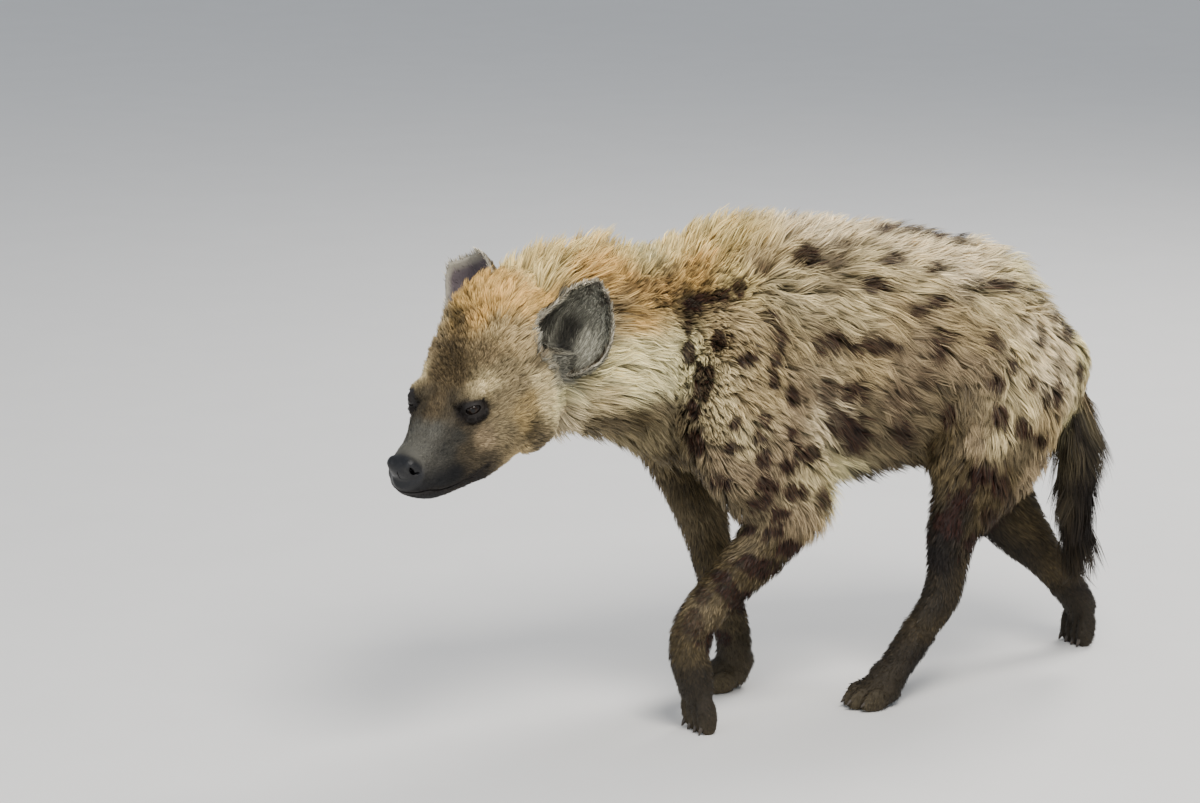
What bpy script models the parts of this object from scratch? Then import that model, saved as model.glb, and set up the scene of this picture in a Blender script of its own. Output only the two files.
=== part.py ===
"""Spotted hyena, life size, in mid stride: one closed solid for each part of the body.

Frame: metres, +Z up, +X towards the head, +Y towards the animal's left side.
The animal is modelled round a point below mid trunk and moved at the end, so that
the origin is the centre of its box on the floor.
"""

import bmesh
import bpy
import numpy as np
from math import cos, pi, radians, sin
from mathutils import Euler, Matrix, Vector

# Driving sizes
GAP = 0.0003  # between solids that touch
BODY_VOXEL = 0.010
HEAD_VOXEL = 0.0040
PAW_VOXEL = 0.0034
BODY_TRIANGLES = 1900
HEAD_TRIANGLES = 1350
PAW_TRIANGLES = 290
CORE_SHARE = 0.5  # how much of a long coat's depth lies outside the core

# The head's own frame: its origin in the skull's base, nose along +X
HEAD_ORIGIN = Vector((0.5755, 0.0525, 0.552))
HEAD_TURN = radians(28)  # towards the left side
HEAD_DIP = radians(14)
HEAD_ROLL = radians(0.5)  # left side up
HEAD = Matrix.Translation(HEAD_ORIGIN) @ Euler((HEAD_ROLL, HEAD_DIP, HEAD_TURN)).to_matrix().to_4x4()

EYE_AT = Vector((0.143, 0.0525, 0.036))  # left eye, in the head's frame
EYE_RADIUS = 0.0135
LID_THICKNESS = 0.003

COLOURS = {
    "head": (0.22, 0.16, 0.10),
    "ear": (0.20, 0.17, 0.15),
    "eye": (0.02, 0.012, 0.008),
    "neck": (0.50, 0.38, 0.22),
    "torso": (0.40, 0.31, 0.20),
    "tail": (0.05, 0.03, 0.02),
    "upper_arm": (0.38, 0.29, 0.18),
    "thigh": (0.38, 0.30, 0.19),
    "forearm": (0.20, 0.13, 0.08),
    "shank": (0.16, 0.11, 0.07),
    "forepaw": (0.10, 0.07, 0.05),
    "hindpaw": (0.09, 0.065, 0.05),
}

# Stations of a loft: centre x, y, z, half width, reach to the back or front, reach to the
# belly or rear, depth of the coat there, depth of the coat on the sides
TRUNK = [
    (-0.428, 0.000, 0.465, 0.030, 0.045, 0.050, 0.010, 0.008),
    (-0.400, 0.000, 0.485, 0.088, 0.078, 0.110, 0.025, 0.018),
    (-0.345, 0.000, 0.505, 0.130, 0.112, 0.135, 0.040, 0.026),
    (-0.260, 0.000, 0.520, 0.138, 0.168, 0.155, 0.045, 0.030),
    (-0.150, 0.000, 0.540, 0.138, 0.190, 0.185, 0.045, 0.032),
    (-0.020, 0.000, 0.560, 0.148, 0.198, 0.218, 0.050, 0.034),
    (0.100, 0.000, 0.575, 0.158, 0.200, 0.225, 0.055, 0.034),
    (0.200, 0.000, 0.585, 0.156, 0.198, 0.212, 0.065, 0.032),
    (0.290, 0.002, 0.600, 0.142, 0.184, 0.195, 0.070, 0.030),
    (0.365, 0.006, 0.612, 0.128, 0.167, 0.172, 0.070, 0.030),
    (0.440, 0.016, 0.618, 0.114, 0.154, 0.162, 0.065, 0.030),
    (0.510, 0.032, 0.612, 0.104, 0.150, 0.150, 0.058, 0.026),
    (0.560, 0.046, 0.596, 0.094, 0.142, 0.132, 0.048, 0.018),
    (0.592, 0.058, 0.578, 0.058, 0.088, 0.080, 0.024, 0.010),
]
HEAD_STATIONS = [
    (-0.078, 0.000, 0.022, 0.058, 0.110, 0.070, 0.034, 0.015),
    (-0.045, 0.000, 0.022, 0.088, 0.168, 0.102, 0.040, 0.015),
    (-0.005, 0.000, 0.018, 0.098, 0.176, 0.110, 0.038, 0.012),
    (0.035, 0.000, 0.010, 0.098, 0.146, 0.102, 0.028, 0.010),
    (0.075, 0.000, 0.000, 0.090, 0.119, 0.094, 0.014, 0.008),
    (0.112, 0.000, -0.010, 0.078, 0.088, 0.090, 0.008, 0.006),
    (0.147, 0.000, -0.018, 0.068, 0.068, 0.083, 0.005, 0.005),
    (0.178, 0.000, -0.027, 0.054, 0.055, 0.070, 0.003, 0.004),
    (0.206, 0.000, -0.034, 0.046, 0.048, 0.056, 0.002, 0.003),
    (0.232, 0.000, -0.037, 0.042, 0.043, 0.042, 0.002, 0.002),
    (0.251, 0.000, -0.036, 0.035, 0.034, 0.028, 0.001, 0.002),
    (0.263, 0.000, -0.032, 0.018, 0.018, 0.015, 0.000, 0.000),
]
FORE_LEFT = [
    (0.215, 0.080, 0.640, 0.045, 0.070, 0.070, 0.020, 0.020),
    (0.228, 0.105, 0.560, 0.066, 0.110, 0.102, 0.026, 0.028),
    (0.212, 0.120, 0.470, 0.066, 0.112, 0.112, 0.024, 0.026),
    (0.175, 0.122, 0.395, 0.056, 0.092, 0.098, 0.018, 0.020),
    (0.152, 0.120, 0.340, 0.048, 0.074, 0.074, 0.012, 0.014),
    (0.172, 0.116, 0.290, 0.041, 0.056, 0.054, 0.010, 0.010),
    (0.218, 0.112, 0.243, 0.036, 0.045, 0.044, 0.008, 0.008),
    (0.264, 0.109, 0.202, 0.033, 0.038, 0.038, 0.006, 0.006),
    (0.295, 0.107, 0.160, 0.034, 0.036, 0.036, 0.006, 0.006),
    (0.300, 0.106, 0.120, 0.034, 0.031, 0.032, 0.005, 0.005),
    (0.292, 0.105, 0.085, 0.035, 0.028, 0.030, 0.004, 0.004),
    (0.286, 0.105, 0.060, 0.031, 0.026, 0.026, 0.003, 0.003),
]
FORE_RIGHT = [
    (0.215, -0.080, 0.640, 0.045, 0.070, 0.070, 0.020, 0.020),
    (0.238, -0.102, 0.560, 0.066, 0.102, 0.102, 0.026, 0.028),
    (0.228, -0.112, 0.470, 0.064, 0.096, 0.098, 0.024, 0.026),
    (0.208, -0.108, 0.395, 0.054, 0.075, 0.085, 0.016, 0.020),
    (0.192, -0.103, 0.335, 0.044, 0.056, 0.064, 0.011, 0.012),
    (0.174, -0.099, 0.265, 0.037, 0.042, 0.046, 0.009, 0.010),
    (0.156, -0.095, 0.190, 0.032, 0.035, 0.036, 0.007, 0.007),
    (0.140, -0.093, 0.132, 0.032, 0.035, 0.034, 0.006, 0.006),
    (0.126, -0.092, 0.085, 0.030, 0.029, 0.030, 0.005, 0.005),
    (0.122, -0.092, 0.050, 0.032, 0.030, 0.028, 0.004, 0.004),
]
HIND_LEFT = [
    (-0.270, 0.070, 0.600, 0.045, 0.080, 0.080, 0.020, 0.020),
    (-0.262, 0.090, 0.520, 0.068, 0.125, 0.120, 0.026, 0.028),
    (-0.232, 0.103, 0.440, 0.066, 0.116, 0.120, 0.022, 0.026),
    (-0.205, 0.106, 0.375, 0.058, 0.094, 0.103, 0.016, 0.022),
    (-0.180, 0.106, 0.315, 0.048, 0.065, 0.068, 0.012, 0.014),
    (-0.156, 0.105, 0.258, 0.038, 0.046, 0.046, 0.008, 0.010),
    (-0.150, 0.103, 0.212, 0.032, 0.036, 0.038, 0.006, 0.008),
    (-0.143, 0.101, 0.170, 0.030, 0.034, 0.036, 0.005, 0.006),
    (-0.108, 0.100, 0.118, 0.028, 0.030, 0.030, 0.005, 0.005),
    (-0.070, 0.100, 0.068, 0.029, 0.027, 0.027, 0.004, 0.004),
    (-0.052, 0.100, 0.045, 0.030, 0.026, 0.024, 0.004, 0.004),
]
HIND_RIGHT = [
    (-0.275, -0.070, 0.600, 0.045, 0.080, 0.080, 0.020, 0.020),
    (-0.280, -0.090, 0.520, 0.068, 0.115, 0.110, 0.026, 0.028),
    (-0.285, -0.102, 0.440, 0.066, 0.105, 0.110, 0.022, 0.026),
    (-0.292, -0.103, 0.365, 0.060, 0.086, 0.108, 0.016, 0.022),
    (-0.315, -0.100, 0.300, 0.050, 0.070, 0.098, 0.012, 0.014),
    (-0.355, -0.097, 0.245, 0.041, 0.056, 0.076, 0.008, 0.010),
    (-0.398, -0.094, 0.196, 0.034, 0.046, 0.056, 0.006, 0.008),
    (-0.438, -0.092, 0.155, 0.030, 0.036, 0.040, 0.005, 0.006),
    (-0.472, -0.091, 0.115, 0.027, 0.030, 0.030, 0.005, 0.005),
    (-0.502, -0.090, 0.080, 0.028, 0.028, 0.028, 0.004, 0.004),
    (-0.514, -0.090, 0.062, 0.029, 0.027, 0.026, 0.004, 0.004),
]
TAIL = [
    (-0.365, 0.000, 0.548, 0.028, 0.032, 0.032, 0.010, 0.010),
    (-0.398, 0.004, 0.515, 0.030, 0.032, 0.034, 0.014, 0.014),
    (-0.422, 0.008, 0.462, 0.032, 0.032, 0.034, 0.018, 0.018),
    (-0.432, 0.012, 0.400, 0.040, 0.038, 0.038, 0.026, 0.026),
    (-0.434, 0.014, 0.330, 0.044, 0.042, 0.042, 0.032, 0.032),
    (-0.436, 0.015, 0.260, 0.040, 0.040, 0.040, 0.032, 0.032),
    (-0.438, 0.015, 0.200, 0.026, 0.028, 0.028, 0.022, 0.022),
    (-0.440, 0.015, 0.155, 0.006, 0.007, 0.007, 0.004, 0.004),
]


EAR_ROOT = Vector((-0.040, 0.072, 0.032))  # left ear, in the head's frame
EAR_LENGTH = 0.142
EAR_COLUMNS = 9
EAR_ROWS = [
    (0.00, 0.028, 0.88), (0.15, 0.042, 0.80), (0.32, 0.049, 0.68), (0.50, 0.048, 0.57),
    (0.66, 0.041, 0.49), (0.80, 0.031, 0.43), (0.92, 0.018, 0.38), (1.00, 0.005, 0.36),
]  # share of the length, half width, how far round the cup goes as a share of half a turn

# Locks of the long coat on each surface: rows and columns of roots (from, to, how many), along
# the surface and round it in degrees from the left side; how far a lock runs along (metres,
# minus is towards the tail on the trunk) and swings down (degrees); its width, thickness, lift
# and the number of rings before its tip
LOCKS = {
    "mane": (TRUNK, (0.44, 0.92, 5), (66, 114, 3), -0.110, 6, 0.062, 0.014, 0.012, 3),
    "back": (TRUNK, (0.08, 0.33, 3), (60, 120, 3), -0.140, 8, 0.080, 0.013, 0.004, 3),
    "left side": (TRUNK, (0.08, 0.90, 8), (-18, 42, 3), -0.140, 15, 0.088, 0.013, 0.003, 2),
    "right side": (TRUNK, (0.08, 0.90, 8), (198, 138, 3), -0.140, 15, 0.088, 0.013, 0.003, 2),
    "belly": (TRUNK, (0.18, 0.84, 5), (246, 294, 2), -0.140, 0, 0.100, 0.012, 0.004, 2),
    "left shoulder": (FORE_LEFT, (0.14, 0.44, 3), (-60, 54, 3), 0.130, 12, 0.074, 0.012, 0.004, 2),
    "right shoulder": (FORE_RIGHT, (0.14, 0.44, 3), (240, 126, 3), 0.130, 12, 0.074, 0.012, 0.004, 2),
    "left haunch": (HIND_LEFT, (0.14, 0.42, 3), (-74, 60, 3), 0.130, 12, 0.080, 0.012, 0.004, 2),
    "right haunch": (HIND_RIGHT, (0.14, 0.42, 3), (254, 120, 3), 0.130, 12, 0.080, 0.012, 0.004, 2),
    "tail": (TAIL, (0.20, 0.82, 5), (0, 240, 3), 0.120, 0, 0.046, 0.013, 0.005, 2),
    "crown": (HEAD_STATIONS, (0.20, 0.34, 2), (66, 114, 3), -0.055, 0, 0.050, 0.012, 0.012, 2),
}

# Where the tail parts from the trunk: a loose sleeve round it
TAIL_SLEEVE = [
    (-0.388, 0.002, 0.540, 0.030, 0.030, 0.030),
    (-0.412, 0.005, 0.512, 0.042, 0.036, 0.042),
    (-0.436, 0.009, 0.455, 0.050, 0.034, 0.050),
    (-0.446, 0.012, 0.390, 0.058, 0.056, 0.060),
    (-0.446, 0.014, 0.320, 0.062, 0.070, 0.070),
    (-0.446, 0.015, 0.240, 0.062, 0.072, 0.072),
    (-0.448, 0.015, 0.120, 0.055, 0.066, 0.066),
]


def clear_scene():
    for obj in list(bpy.data.objects):
        bpy.data.objects.remove(obj, do_unlink=True)


def smooth_rows(rows, count):
    """Rows spaced evenly along the smooth curve through the given rows."""
    rows = np.array(rows, float)
    steps = np.linalg.norm(np.diff(rows[:, :3], axis=0), axis=1)
    at = np.concatenate([[0], np.cumsum(steps)])
    slopes = np.gradient(rows, at, axis=0)
    wanted = np.linspace(0, at[-1], count)
    cell = np.clip(np.searchsorted(at, wanted, side="right") - 1, 0, len(at) - 2)
    width = (at[cell + 1] - at[cell])[:, None]
    t = ((wanted - at[cell]) / width[:, 0])[:, None]
    a, b = rows[cell], rows[cell + 1]
    ta, tb = slopes[cell] * width, slopes[cell + 1] * width
    return (
        (2 * t**3 - 3 * t**2 + 1) * a
        + (t**3 - 2 * t**2 + t) * ta
        + (3 * t**2 - 2 * t**3) * b
        + (t**3 - t**2) * tb
    )


def frames(rows):
    """For each row of a path: its centre, direction, side and up."""
    centres = rows[:, :3]
    tangents = np.gradient(centres, axis=0)
    tangents /= np.linalg.norm(tangents, axis=1)[:, None]
    sides = np.array((0, 1, 0)) - tangents[:, 1:2] * tangents
    sides /= np.linalg.norm(sides, axis=1)[:, None]
    return centres, tangents, sides, np.cross(tangents, sides)


def link(name, mesh):
    obj = bpy.data.objects.new(name, mesh)
    bpy.context.scene.collection.objects.link(obj)
    return obj


def core_depth(coat):
    """How far the core lies under the outline: nothing under short fur, half way under long."""
    return CORE_SHARE * coat * np.clip((coat - 0.012) / 0.006, 0, 1)


def loft(bm, stations, count, sides, place=Matrix.Identity(4), square=2.2, grow=0.0):
    """Adds a closed loft to the mesh: rings of a rounded section set across a smooth path."""
    rows = smooth_rows(stations, count)
    centres, tangents, across, ups = frames(rows)
    angles = np.arange(sides) * 2 * pi / sides
    power = 2 / square
    wide = np.sign(np.cos(angles)) * np.abs(np.cos(angles)) ** power
    high = np.sign(np.sin(angles)) * np.abs(np.sin(angles)) ** power
    rings = []
    for row, centre, side, up in zip(rows, centres, across, ups):
        over, beside = core_depth(row[6:8])
        width = row[3] - beside + grow
        reach = np.where(high > 0, row[4] - over, row[5] - beside) + grow
        points = centre + np.outer(width * wide, side) + np.outer(reach * high, up)
        rings.append([bm.verts.new(place @ Vector(p)) for p in points])
    for low, top in zip(rings, rings[1:]):
        for i in range(sides):
            j = (i + 1) % sides
            bm.faces.new((low[i], low[j], top[j], top[i]))
    bm.faces.new(rings[0][::-1])
    bm.faces.new(rings[-1])


def ball(bm, centre, radii, turn=(0, 0, 0), place=Matrix.Identity(4), sides=24):
    """Adds an ellipsoid to the mesh."""
    shape = Matrix.Translation(centre) @ Euler(turn).to_matrix().to_4x4() @ Matrix.Diagonal((*radii, 1))
    bmesh.ops.create_uvsphere(
        bm, u_segments=sides, v_segments=sides // 2, radius=1, matrix=place @ shape
    )


def half_space(bm, point, normal, reach=1.6):
    """Adds a big block whose near face lies at the point, square to the normal."""
    normal = Vector(normal).normalized()
    turn = normal.to_track_quat("Z", "Y").to_matrix().to_4x4()
    shape = Matrix.Translation(Vector(point) + normal * reach / 2) @ turn
    bmesh.ops.create_cube(bm, size=reach, matrix=shape)


def leg_sleeve(leg):
    """A loose sleeve round a leg, as level rings: centre, half width, reach forward and back."""
    side = 1 if leg[0][1] > 0 else -1
    rows = [(leg[1][0], side * 0.150, 0.690, 0.020, 0.025, 0.025)]
    for x, y, z, _, front, rear, *_ in leg:
        high = min(max((z - 0.26) / 0.20, 0), 1)
        width = 0.060 + 0.020 * high if z < 0.6 else 0.055
        spare = (0.048 if z < 0.6 else 0.002) - 0.030 * high
        rows.append((x, y + side * 0.036 * high, z, width, front + spare, rear + spare))
    x, y = leg[-1][:2]
    rows.append((x, y, -0.035, 0.060, 0.110, 0.090))
    return rows


def stack(bm, rows, count, sides, grow):
    """Adds a closed pile of level oval rings to the mesh."""
    rows = smooth_rows(rows, count)
    rings = []
    for n, (x, y, z, width, front, rear) in enumerate(rows):
        z += grow if n == 0 else (-grow if n == count - 1 else 0)
        ring = []
        for k in range(sides):
            turn = 2 * pi * k / sides
            reach = (front if cos(turn) > 0 else rear) + 1.4 * grow
            at = (x + reach * cos(turn), y + (width + 1.4 * grow) * sin(turn), z)
            ring.append(bm.verts.new(at))
        rings.append(ring)
    for low, top in zip(rings, rings[1:]):
        for i in range(sides):
            j = (i + 1) % sides
            bm.faces.new((low[i], top[i], top[j]))
            bm.faces.new((low[i], top[j], low[j]))
    bm.faces.new(rings[0])
    bm.faces.new(rings[-1][::-1])


def body_blocks(bm):
    """The trunk, neck, legs and tail as overlapping closed pieces."""
    loft(bm, TRUNK, 44, 32)
    for stations in (FORE_LEFT, FORE_RIGHT, HIND_LEFT, HIND_RIGHT):
        loft(bm, stations[:-1], 34, 20)
    loft(bm, TAIL, 24, 16)


def head_blocks(bm):
    """The skull, jaws, cheeks, brows, lids and nose as overlapping closed pieces."""
    loft(bm, HEAD_STATIONS, 40, 32, HEAD)
    for side in (-1, 1):
        ball(bm, (0.075, side * 0.060, -0.012), (0.060, 0.036, 0.044), (0, 0, -side * 0.30), HEAD)
        ball(bm, (0.035, side * 0.058, -0.038), (0.055, 0.037, 0.042), (0, 0, 0), HEAD)
        ball(bm, (0.134, side * 0.037, 0.048), (0.030, 0.024, 0.016), (0, 0.3, -side * 0.5), HEAD)
        ball(bm, (0.222, side * 0.024, -0.034), (0.036, 0.021, 0.026), (0, 0, 0), HEAD)
        eye = (EYE_AT.x, side * EYE_AT.y, EYE_AT.z)
        ball(bm, eye, [EYE_RADIUS + LID_THICKNESS + 0.001] * 3, (0, 0, 0), HEAD)
    ball(bm, (0.252, 0, -0.014), (0.019, 0.027, 0.019), (0, 0.25, 0), HEAD)


def flat_paw(bm, at, width):
    """A paw standing flat: palm, four toes side by side and their blunt claws."""
    x, y = at
    ball(bm, (x, y, 0.026), (0.036, width * 1.70, 0.030), sides=16)
    ball(bm, (x - 0.012, y, 0.044), (0.032, width * 1.60, 0.030), sides=16)
    for place in (-1.5, -0.5, 0.5, 1.5):
        reach = 0.052 if abs(place) < 1 else 0.038
        middle = (x + reach * 0.55, y + place * width * 0.96, 0.0185)
        ball(bm, middle, (reach * 0.62, width * 0.60, 0.0205), (0, 0.10, 0.08 * place), sides=16)


def hanging_paw(bm, at, width, lean):
    """A paw on its toe tips: the toes point down from the ball of the foot."""
    x, y, z = at
    ball(bm, (x, y, z + 0.006), (0.027, width * 1.70, 0.030), sides=16)
    for place in (-1.5, -0.5, 0.5, 1.5):
        length = z + 0.004 - (0 if abs(place) < 1 else 0.004)
        root = Vector((x, y + place * width * 0.88, z))
        tip = root + Vector((lean, place * width * 0.10, -length))
        ball(bm, (root + tip) / 2, (0.0185, width * 0.60, length * 0.60), (0, -lean / length, 0), sides=16)


def fused(name, add_parts, voxel, smoothing, triangles):
    """One closed surface round all the pieces, smoothed, with about so many triangles."""
    obj = solid(name, add_parts)
    remesh = obj.modifiers.new("fuse", "REMESH")
    remesh.mode = "VOXEL"
    remesh.voxel_size = voxel
    remesh.adaptivity = 0
    smooth = obj.modifiers.new("soften", "SMOOTH")
    smooth.factor = 0.5
    smooth.iterations = smoothing
    apply_modifiers(obj)
    thin(obj, triangles)
    return obj


def thin(obj, triangles):
    """Brings a mesh down to about so many triangles, keeping its form."""
    obj.data.calc_loop_triangles()
    decimate = obj.modifiers.new("thin", "DECIMATE")
    decimate.ratio = min(1.0, triangles / len(obj.data.loop_triangles))
    apply_modifiers(obj)


def solid(name, add_parts):
    """An object made of the closed pieces that add_parts puts into a mesh."""
    bm = bmesh.new()
    add_parts(bm)
    mesh = bpy.data.meshes.new(name)
    bm.to_mesh(mesh)
    bm.free()
    return link(name, mesh)


def apply_modifiers(obj):
    graph = bpy.context.evaluated_depsgraph_get()
    mesh = bpy.data.meshes.new_from_object(obj.evaluated_get(graph))
    obj.modifiers.clear()
    old = obj.data
    obj.data = mesh
    bpy.data.meshes.remove(old)


def boolean(obj, other, operation):
    """Joins, cuts or trims obj with another closed mesh, applies it and removes the other."""
    modifier = obj.modifiers.new("shape", "BOOLEAN")
    modifier.operation = operation
    modifier.solver = "MANIFOLD"
    modifier.object = other
    apply_modifiers(obj)
    bpy.data.objects.remove(other, do_unlink=True)


def copy_of(obj, name):
    return link(name, obj.data.copy())


def take(rest, name, add_cutter):
    """Cuts the part inside the cutter off the rest, leaving the gap between them."""
    piece = copy_of(rest, name)
    boolean(piece, solid("cutter", lambda bm: add_cutter(bm, 0.0)), "INTERSECT")
    boolean(rest, solid("cutter", lambda bm: add_cutter(bm, GAP)), "DIFFERENCE")
    return piece


def take_beyond(rest, name, point, normal):
    """Cuts off the part beyond a plane, leaving the gap between them."""
    point, normal = Vector(point), Vector(normal).normalized()
    piece = copy_of(rest, name)
    boolean(piece, solid("cutter", lambda bm: half_space(bm, point, normal)), "INTERSECT")
    boolean(rest, solid("cutter", lambda bm: half_space(bm, point - normal * GAP, normal)), "DIFFERENCE")
    return piece


def keep_largest(obj):
    """Keeps only the largest of the closed surfaces in the mesh."""
    bm = bmesh.new()
    bm.from_mesh(obj.data)
    bmesh.ops.remove_doubles(bm, verts=bm.verts, dist=1e-6)
    left = set(bm.faces)
    islands = []
    while left:
        island, queue = [], [left.pop()]
        while queue:
            face = queue.pop()
            island.append(face)
            for edge in face.edges:
                for other in edge.link_faces:
                    if other in left:
                        left.remove(other)
                        queue.append(other)
        islands.append(island)
    islands.sort(key=lambda island: sum(face.calc_area() for face in island), reverse=True)
    for island in islands[1:]:
        bmesh.ops.delete(bm, geom=island, context="FACES")
    bmesh.ops.delete(bm, geom=[v for v in bm.verts if not v.link_faces], context="VERTS")
    bm.to_mesh(obj.data)
    bm.free()


def grown(obj, by):
    """A copy of a closed mesh with its surface moved outwards."""
    copy = copy_of(obj, "grown")
    normals = [v.normal.copy() for v in copy.data.vertices]
    for vertex, normal in zip(copy.data.vertices, normals):
        vertex.co += normal * by
    return copy


def mouth_groove(bm, surface):
    """The line of the mouth: a thin round groove from one corner round the front to the other."""
    path = [
        (0.126, -0.052), (0.152, -0.062), (0.182, -0.069), (0.210, -0.067), (0.236, -0.058),
    ]
    points = []
    for side in (-1, 1):
        found = []
        for x, z in path:
            start = HEAD @ Vector((x, 0, z))
            aim = HEAD.to_3x3() @ Vector((0.0, side, 0.0))
            hit = surface.ray_cast(start, aim)
            found.append(Vector(hit[1]))
        points.append(found)
    front = []
    for angle in (-45, 0, 45):
        start = HEAD @ Vector((0.225, 0, -0.052))
        aim = HEAD.to_3x3() @ Vector((cos(radians(angle)), sin(radians(angle)), 0.0))
        front.append(Vector(surface.ray_cast(start, aim)[1]))
    line = points[0] + front + points[1][::-1]
    sweep(bm, line, 0.0024, 4)


def sweep(bm, line, radius, sides):
    """Adds a round tube along the points, its ends drawn in."""
    rings = []
    up = HEAD.to_3x3() @ Vector((0, 0, 1))
    for i, point in enumerate(line):
        ahead = line[min(i + 1, len(line) - 1)] - line[max(i - 1, 0)]
        out = ahead.cross(up).normalized()
        over = out.cross(ahead).normalized()
        size = radius * (0.4 if i in (0, len(line) - 1) else 1)
        ring = []
        for k in range(sides):
            turn = 2 * pi * k / sides
            ring.append(bm.verts.new(point + size * (out * cos(turn) * 1.6 + over * sin(turn))))
        rings.append(ring)
    for low, top in zip(rings, rings[1:]):
        for i in range(sides):
            j = (i + 1) % sides
            bm.faces.new((low[i], low[j], top[j], top[i]))
    bm.faces.new(rings[0][::-1])
    bm.faces.new(rings[-1])
    bmesh.ops.recalc_face_normals(bm, faces=bm.faces)


def eye_turn(side):
    """How the opening of the lids is turned: the line of sight points forward and outward."""
    return Euler((side * radians(12), radians(-4), side * radians(38)))


def shape_face(head):
    """Cuts the nostrils, the mouth, the openings of the lids and the sockets."""
    boolean(head, solid("cutter", lambda bm: mouth_groove(bm, head)), "DIFFERENCE")

    def nostrils(bm):
        for side in (-1, 1):
            ball(bm, (0.270, side * 0.0105, -0.014), (0.010, 0.0048, 0.0062), (0, 0, side * 0.5), HEAD, 12)
    boolean(head, solid("cutter", nostrils), "DIFFERENCE")

    def slits(bm):
        for side in (-1, 1):
            ball(bm, (0.263, side * 0.0195, -0.020), (0.0105, 0.0040, 0.0034), (0, 0, side * 1.1), HEAD, 12)
    boolean(head, solid("cutter", slits), "DIFFERENCE")

    def philtrum(bm):
        ball(bm, (0.2715, 0, -0.030), (0.0050, 0.0012, 0.0140), (0, 0, 0), HEAD, 12)
    boolean(head, solid("cutter", philtrum), "DIFFERENCE")

    def openings(bm):
        for side in (-1, 1):
            eye = Vector((EYE_AT.x, side * EYE_AT.y, EYE_AT.z))
            turn = eye_turn(side)
            aim = turn.to_matrix() @ Vector((1, 0, 0))
            ball(bm, eye + aim * 0.016, (0.0160, 0.0132, 0.0062), turn, HEAD, 20)
    boolean(head, solid("cutter", openings), "DIFFERENCE")

    def sockets(bm):
        for side in (-1, 1):
            eye = HEAD @ Vector((EYE_AT.x, side * EYE_AT.y, EYE_AT.z))
            bmesh.ops.create_icosphere(
                bm, subdivisions=2, radius=EYE_RADIUS + GAP, matrix=Matrix.Translation(eye)
            )
    boolean(head, solid("cutter", sockets), "DIFFERENCE")


def make_eye(side, name):
    eye = HEAD @ Vector((EYE_AT.x, side * EYE_AT.y, EYE_AT.z))

    def globe(bm):
        bmesh.ops.create_icosphere(bm, subdivisions=2, radius=EYE_RADIUS, matrix=Matrix.Translation(eye))
    return solid(name, globe)


def make_ear(side, name, lean, spread):
    """A cupped ear: a shell that wraps nearly round at the root and opens towards the tip."""
    root = Vector((EAR_ROOT.x, side * EAR_ROOT.y, EAR_ROOT.z))
    axis = Vector((-0.30, side * lean, 0.85)).normalized()
    face = Vector((0.84, side * spread, 0.0))
    face = (face - axis * face.dot(axis)).normalized()
    across = axis.cross(face)
    inner, outer = [], []
    for t, width, wrap in EAR_ROWS:
        centre = root + axis * EAR_LENGTH * t - face * 0.012 * sin(pi * t)
        limit = wrap * pi
        radius = width / sin(min(limit, pi / 2))
        hub = centre + face * radius * 0.55
        wall = 0.0055 - 0.0030 * t
        inner.append([])
        outer.append([])
        for k in range(EAR_COLUMNS):
            turn = limit * (2 * k / (EAR_COLUMNS - 1) - 1)
            ray = -face * cos(turn) + across * sin(turn)
            thin = wall * (0.55 if k in (0, EAR_COLUMNS - 1) else 1)
            inner[-1].append(hub + ray * (radius - thin))
            outer[-1].append(hub + ray * radius)

    def shell(bm):
        grids = [[[bm.verts.new(HEAD @ p) for p in row] for row in grid] for grid in (inner, outer)]
        rows, columns = len(inner), EAR_COLUMNS
        for i in range(rows - 1):
            for k in range(columns - 1):
                for grid, flip in ((grids[0], True), (grids[1], False)):
                    quad = [grid[i][k], grid[i][k + 1], grid[i + 1][k + 1], grid[i + 1][k]]
                    bm.faces.new(quad[::-1] if flip else quad)
            for k in (0, columns - 1):
                bm.faces.new((grids[0][i][k], grids[0][i + 1][k], grids[1][i + 1][k], grids[1][i][k]))
        for i in (0, rows - 1):
            for k in range(columns - 1):
                bm.faces.new((grids[0][i][k], grids[1][i][k], grids[1][i][k + 1], grids[0][i][k + 1]))
        bmesh.ops.recalc_face_normals(bm, faces=bm.faces)
    return solid(name, shell)


def surface_of(stations, count=60):
    rows = smooth_rows(stations, count)
    centres, tangents, across, ups = frames(rows)
    length = np.linalg.norm(np.diff(centres, axis=0), axis=1).sum()
    place = HEAD if stations is HEAD_STATIONS else Matrix.Identity(4)
    return rows, tangents, across, ups, length, place


def coat_at(shape, along, turn):
    """The coat's depth at a place on a surface."""
    rows = shape[0]
    row = rows[int(round(min(max(along, 0), 1) * (len(rows) - 1)))]
    upward = max(sin(turn), 0) ** 2
    return row[6] * upward + row[7] * (1 - upward)


def surface_point(shape, along, turn, depth):
    """The point so far along and round a surface and so deep under it."""
    rows, tangents, across, ups, length, place = shape
    inside = min(max(along, 0), 1)
    at = inside * (len(rows) - 1)
    i = min(int(at), len(rows) - 2)
    t = at - i
    row, tangent, side, up = ((1 - t) * part[i] + t * part[i + 1] for part in (rows, tangents, across, ups))
    wide = np.sign(cos(turn)) * abs(cos(turn)) ** (2 / 2.2)
    high = np.sign(sin(turn)) * abs(sin(turn)) ** (2 / 2.2)
    reach = (row[4] if high > 0 else row[5]) - depth
    centre = row[:3] + tangent * (along - inside) * length
    return place @ Vector(centre + side * wide * (row[3] - depth) + up * high * reach)


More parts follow.
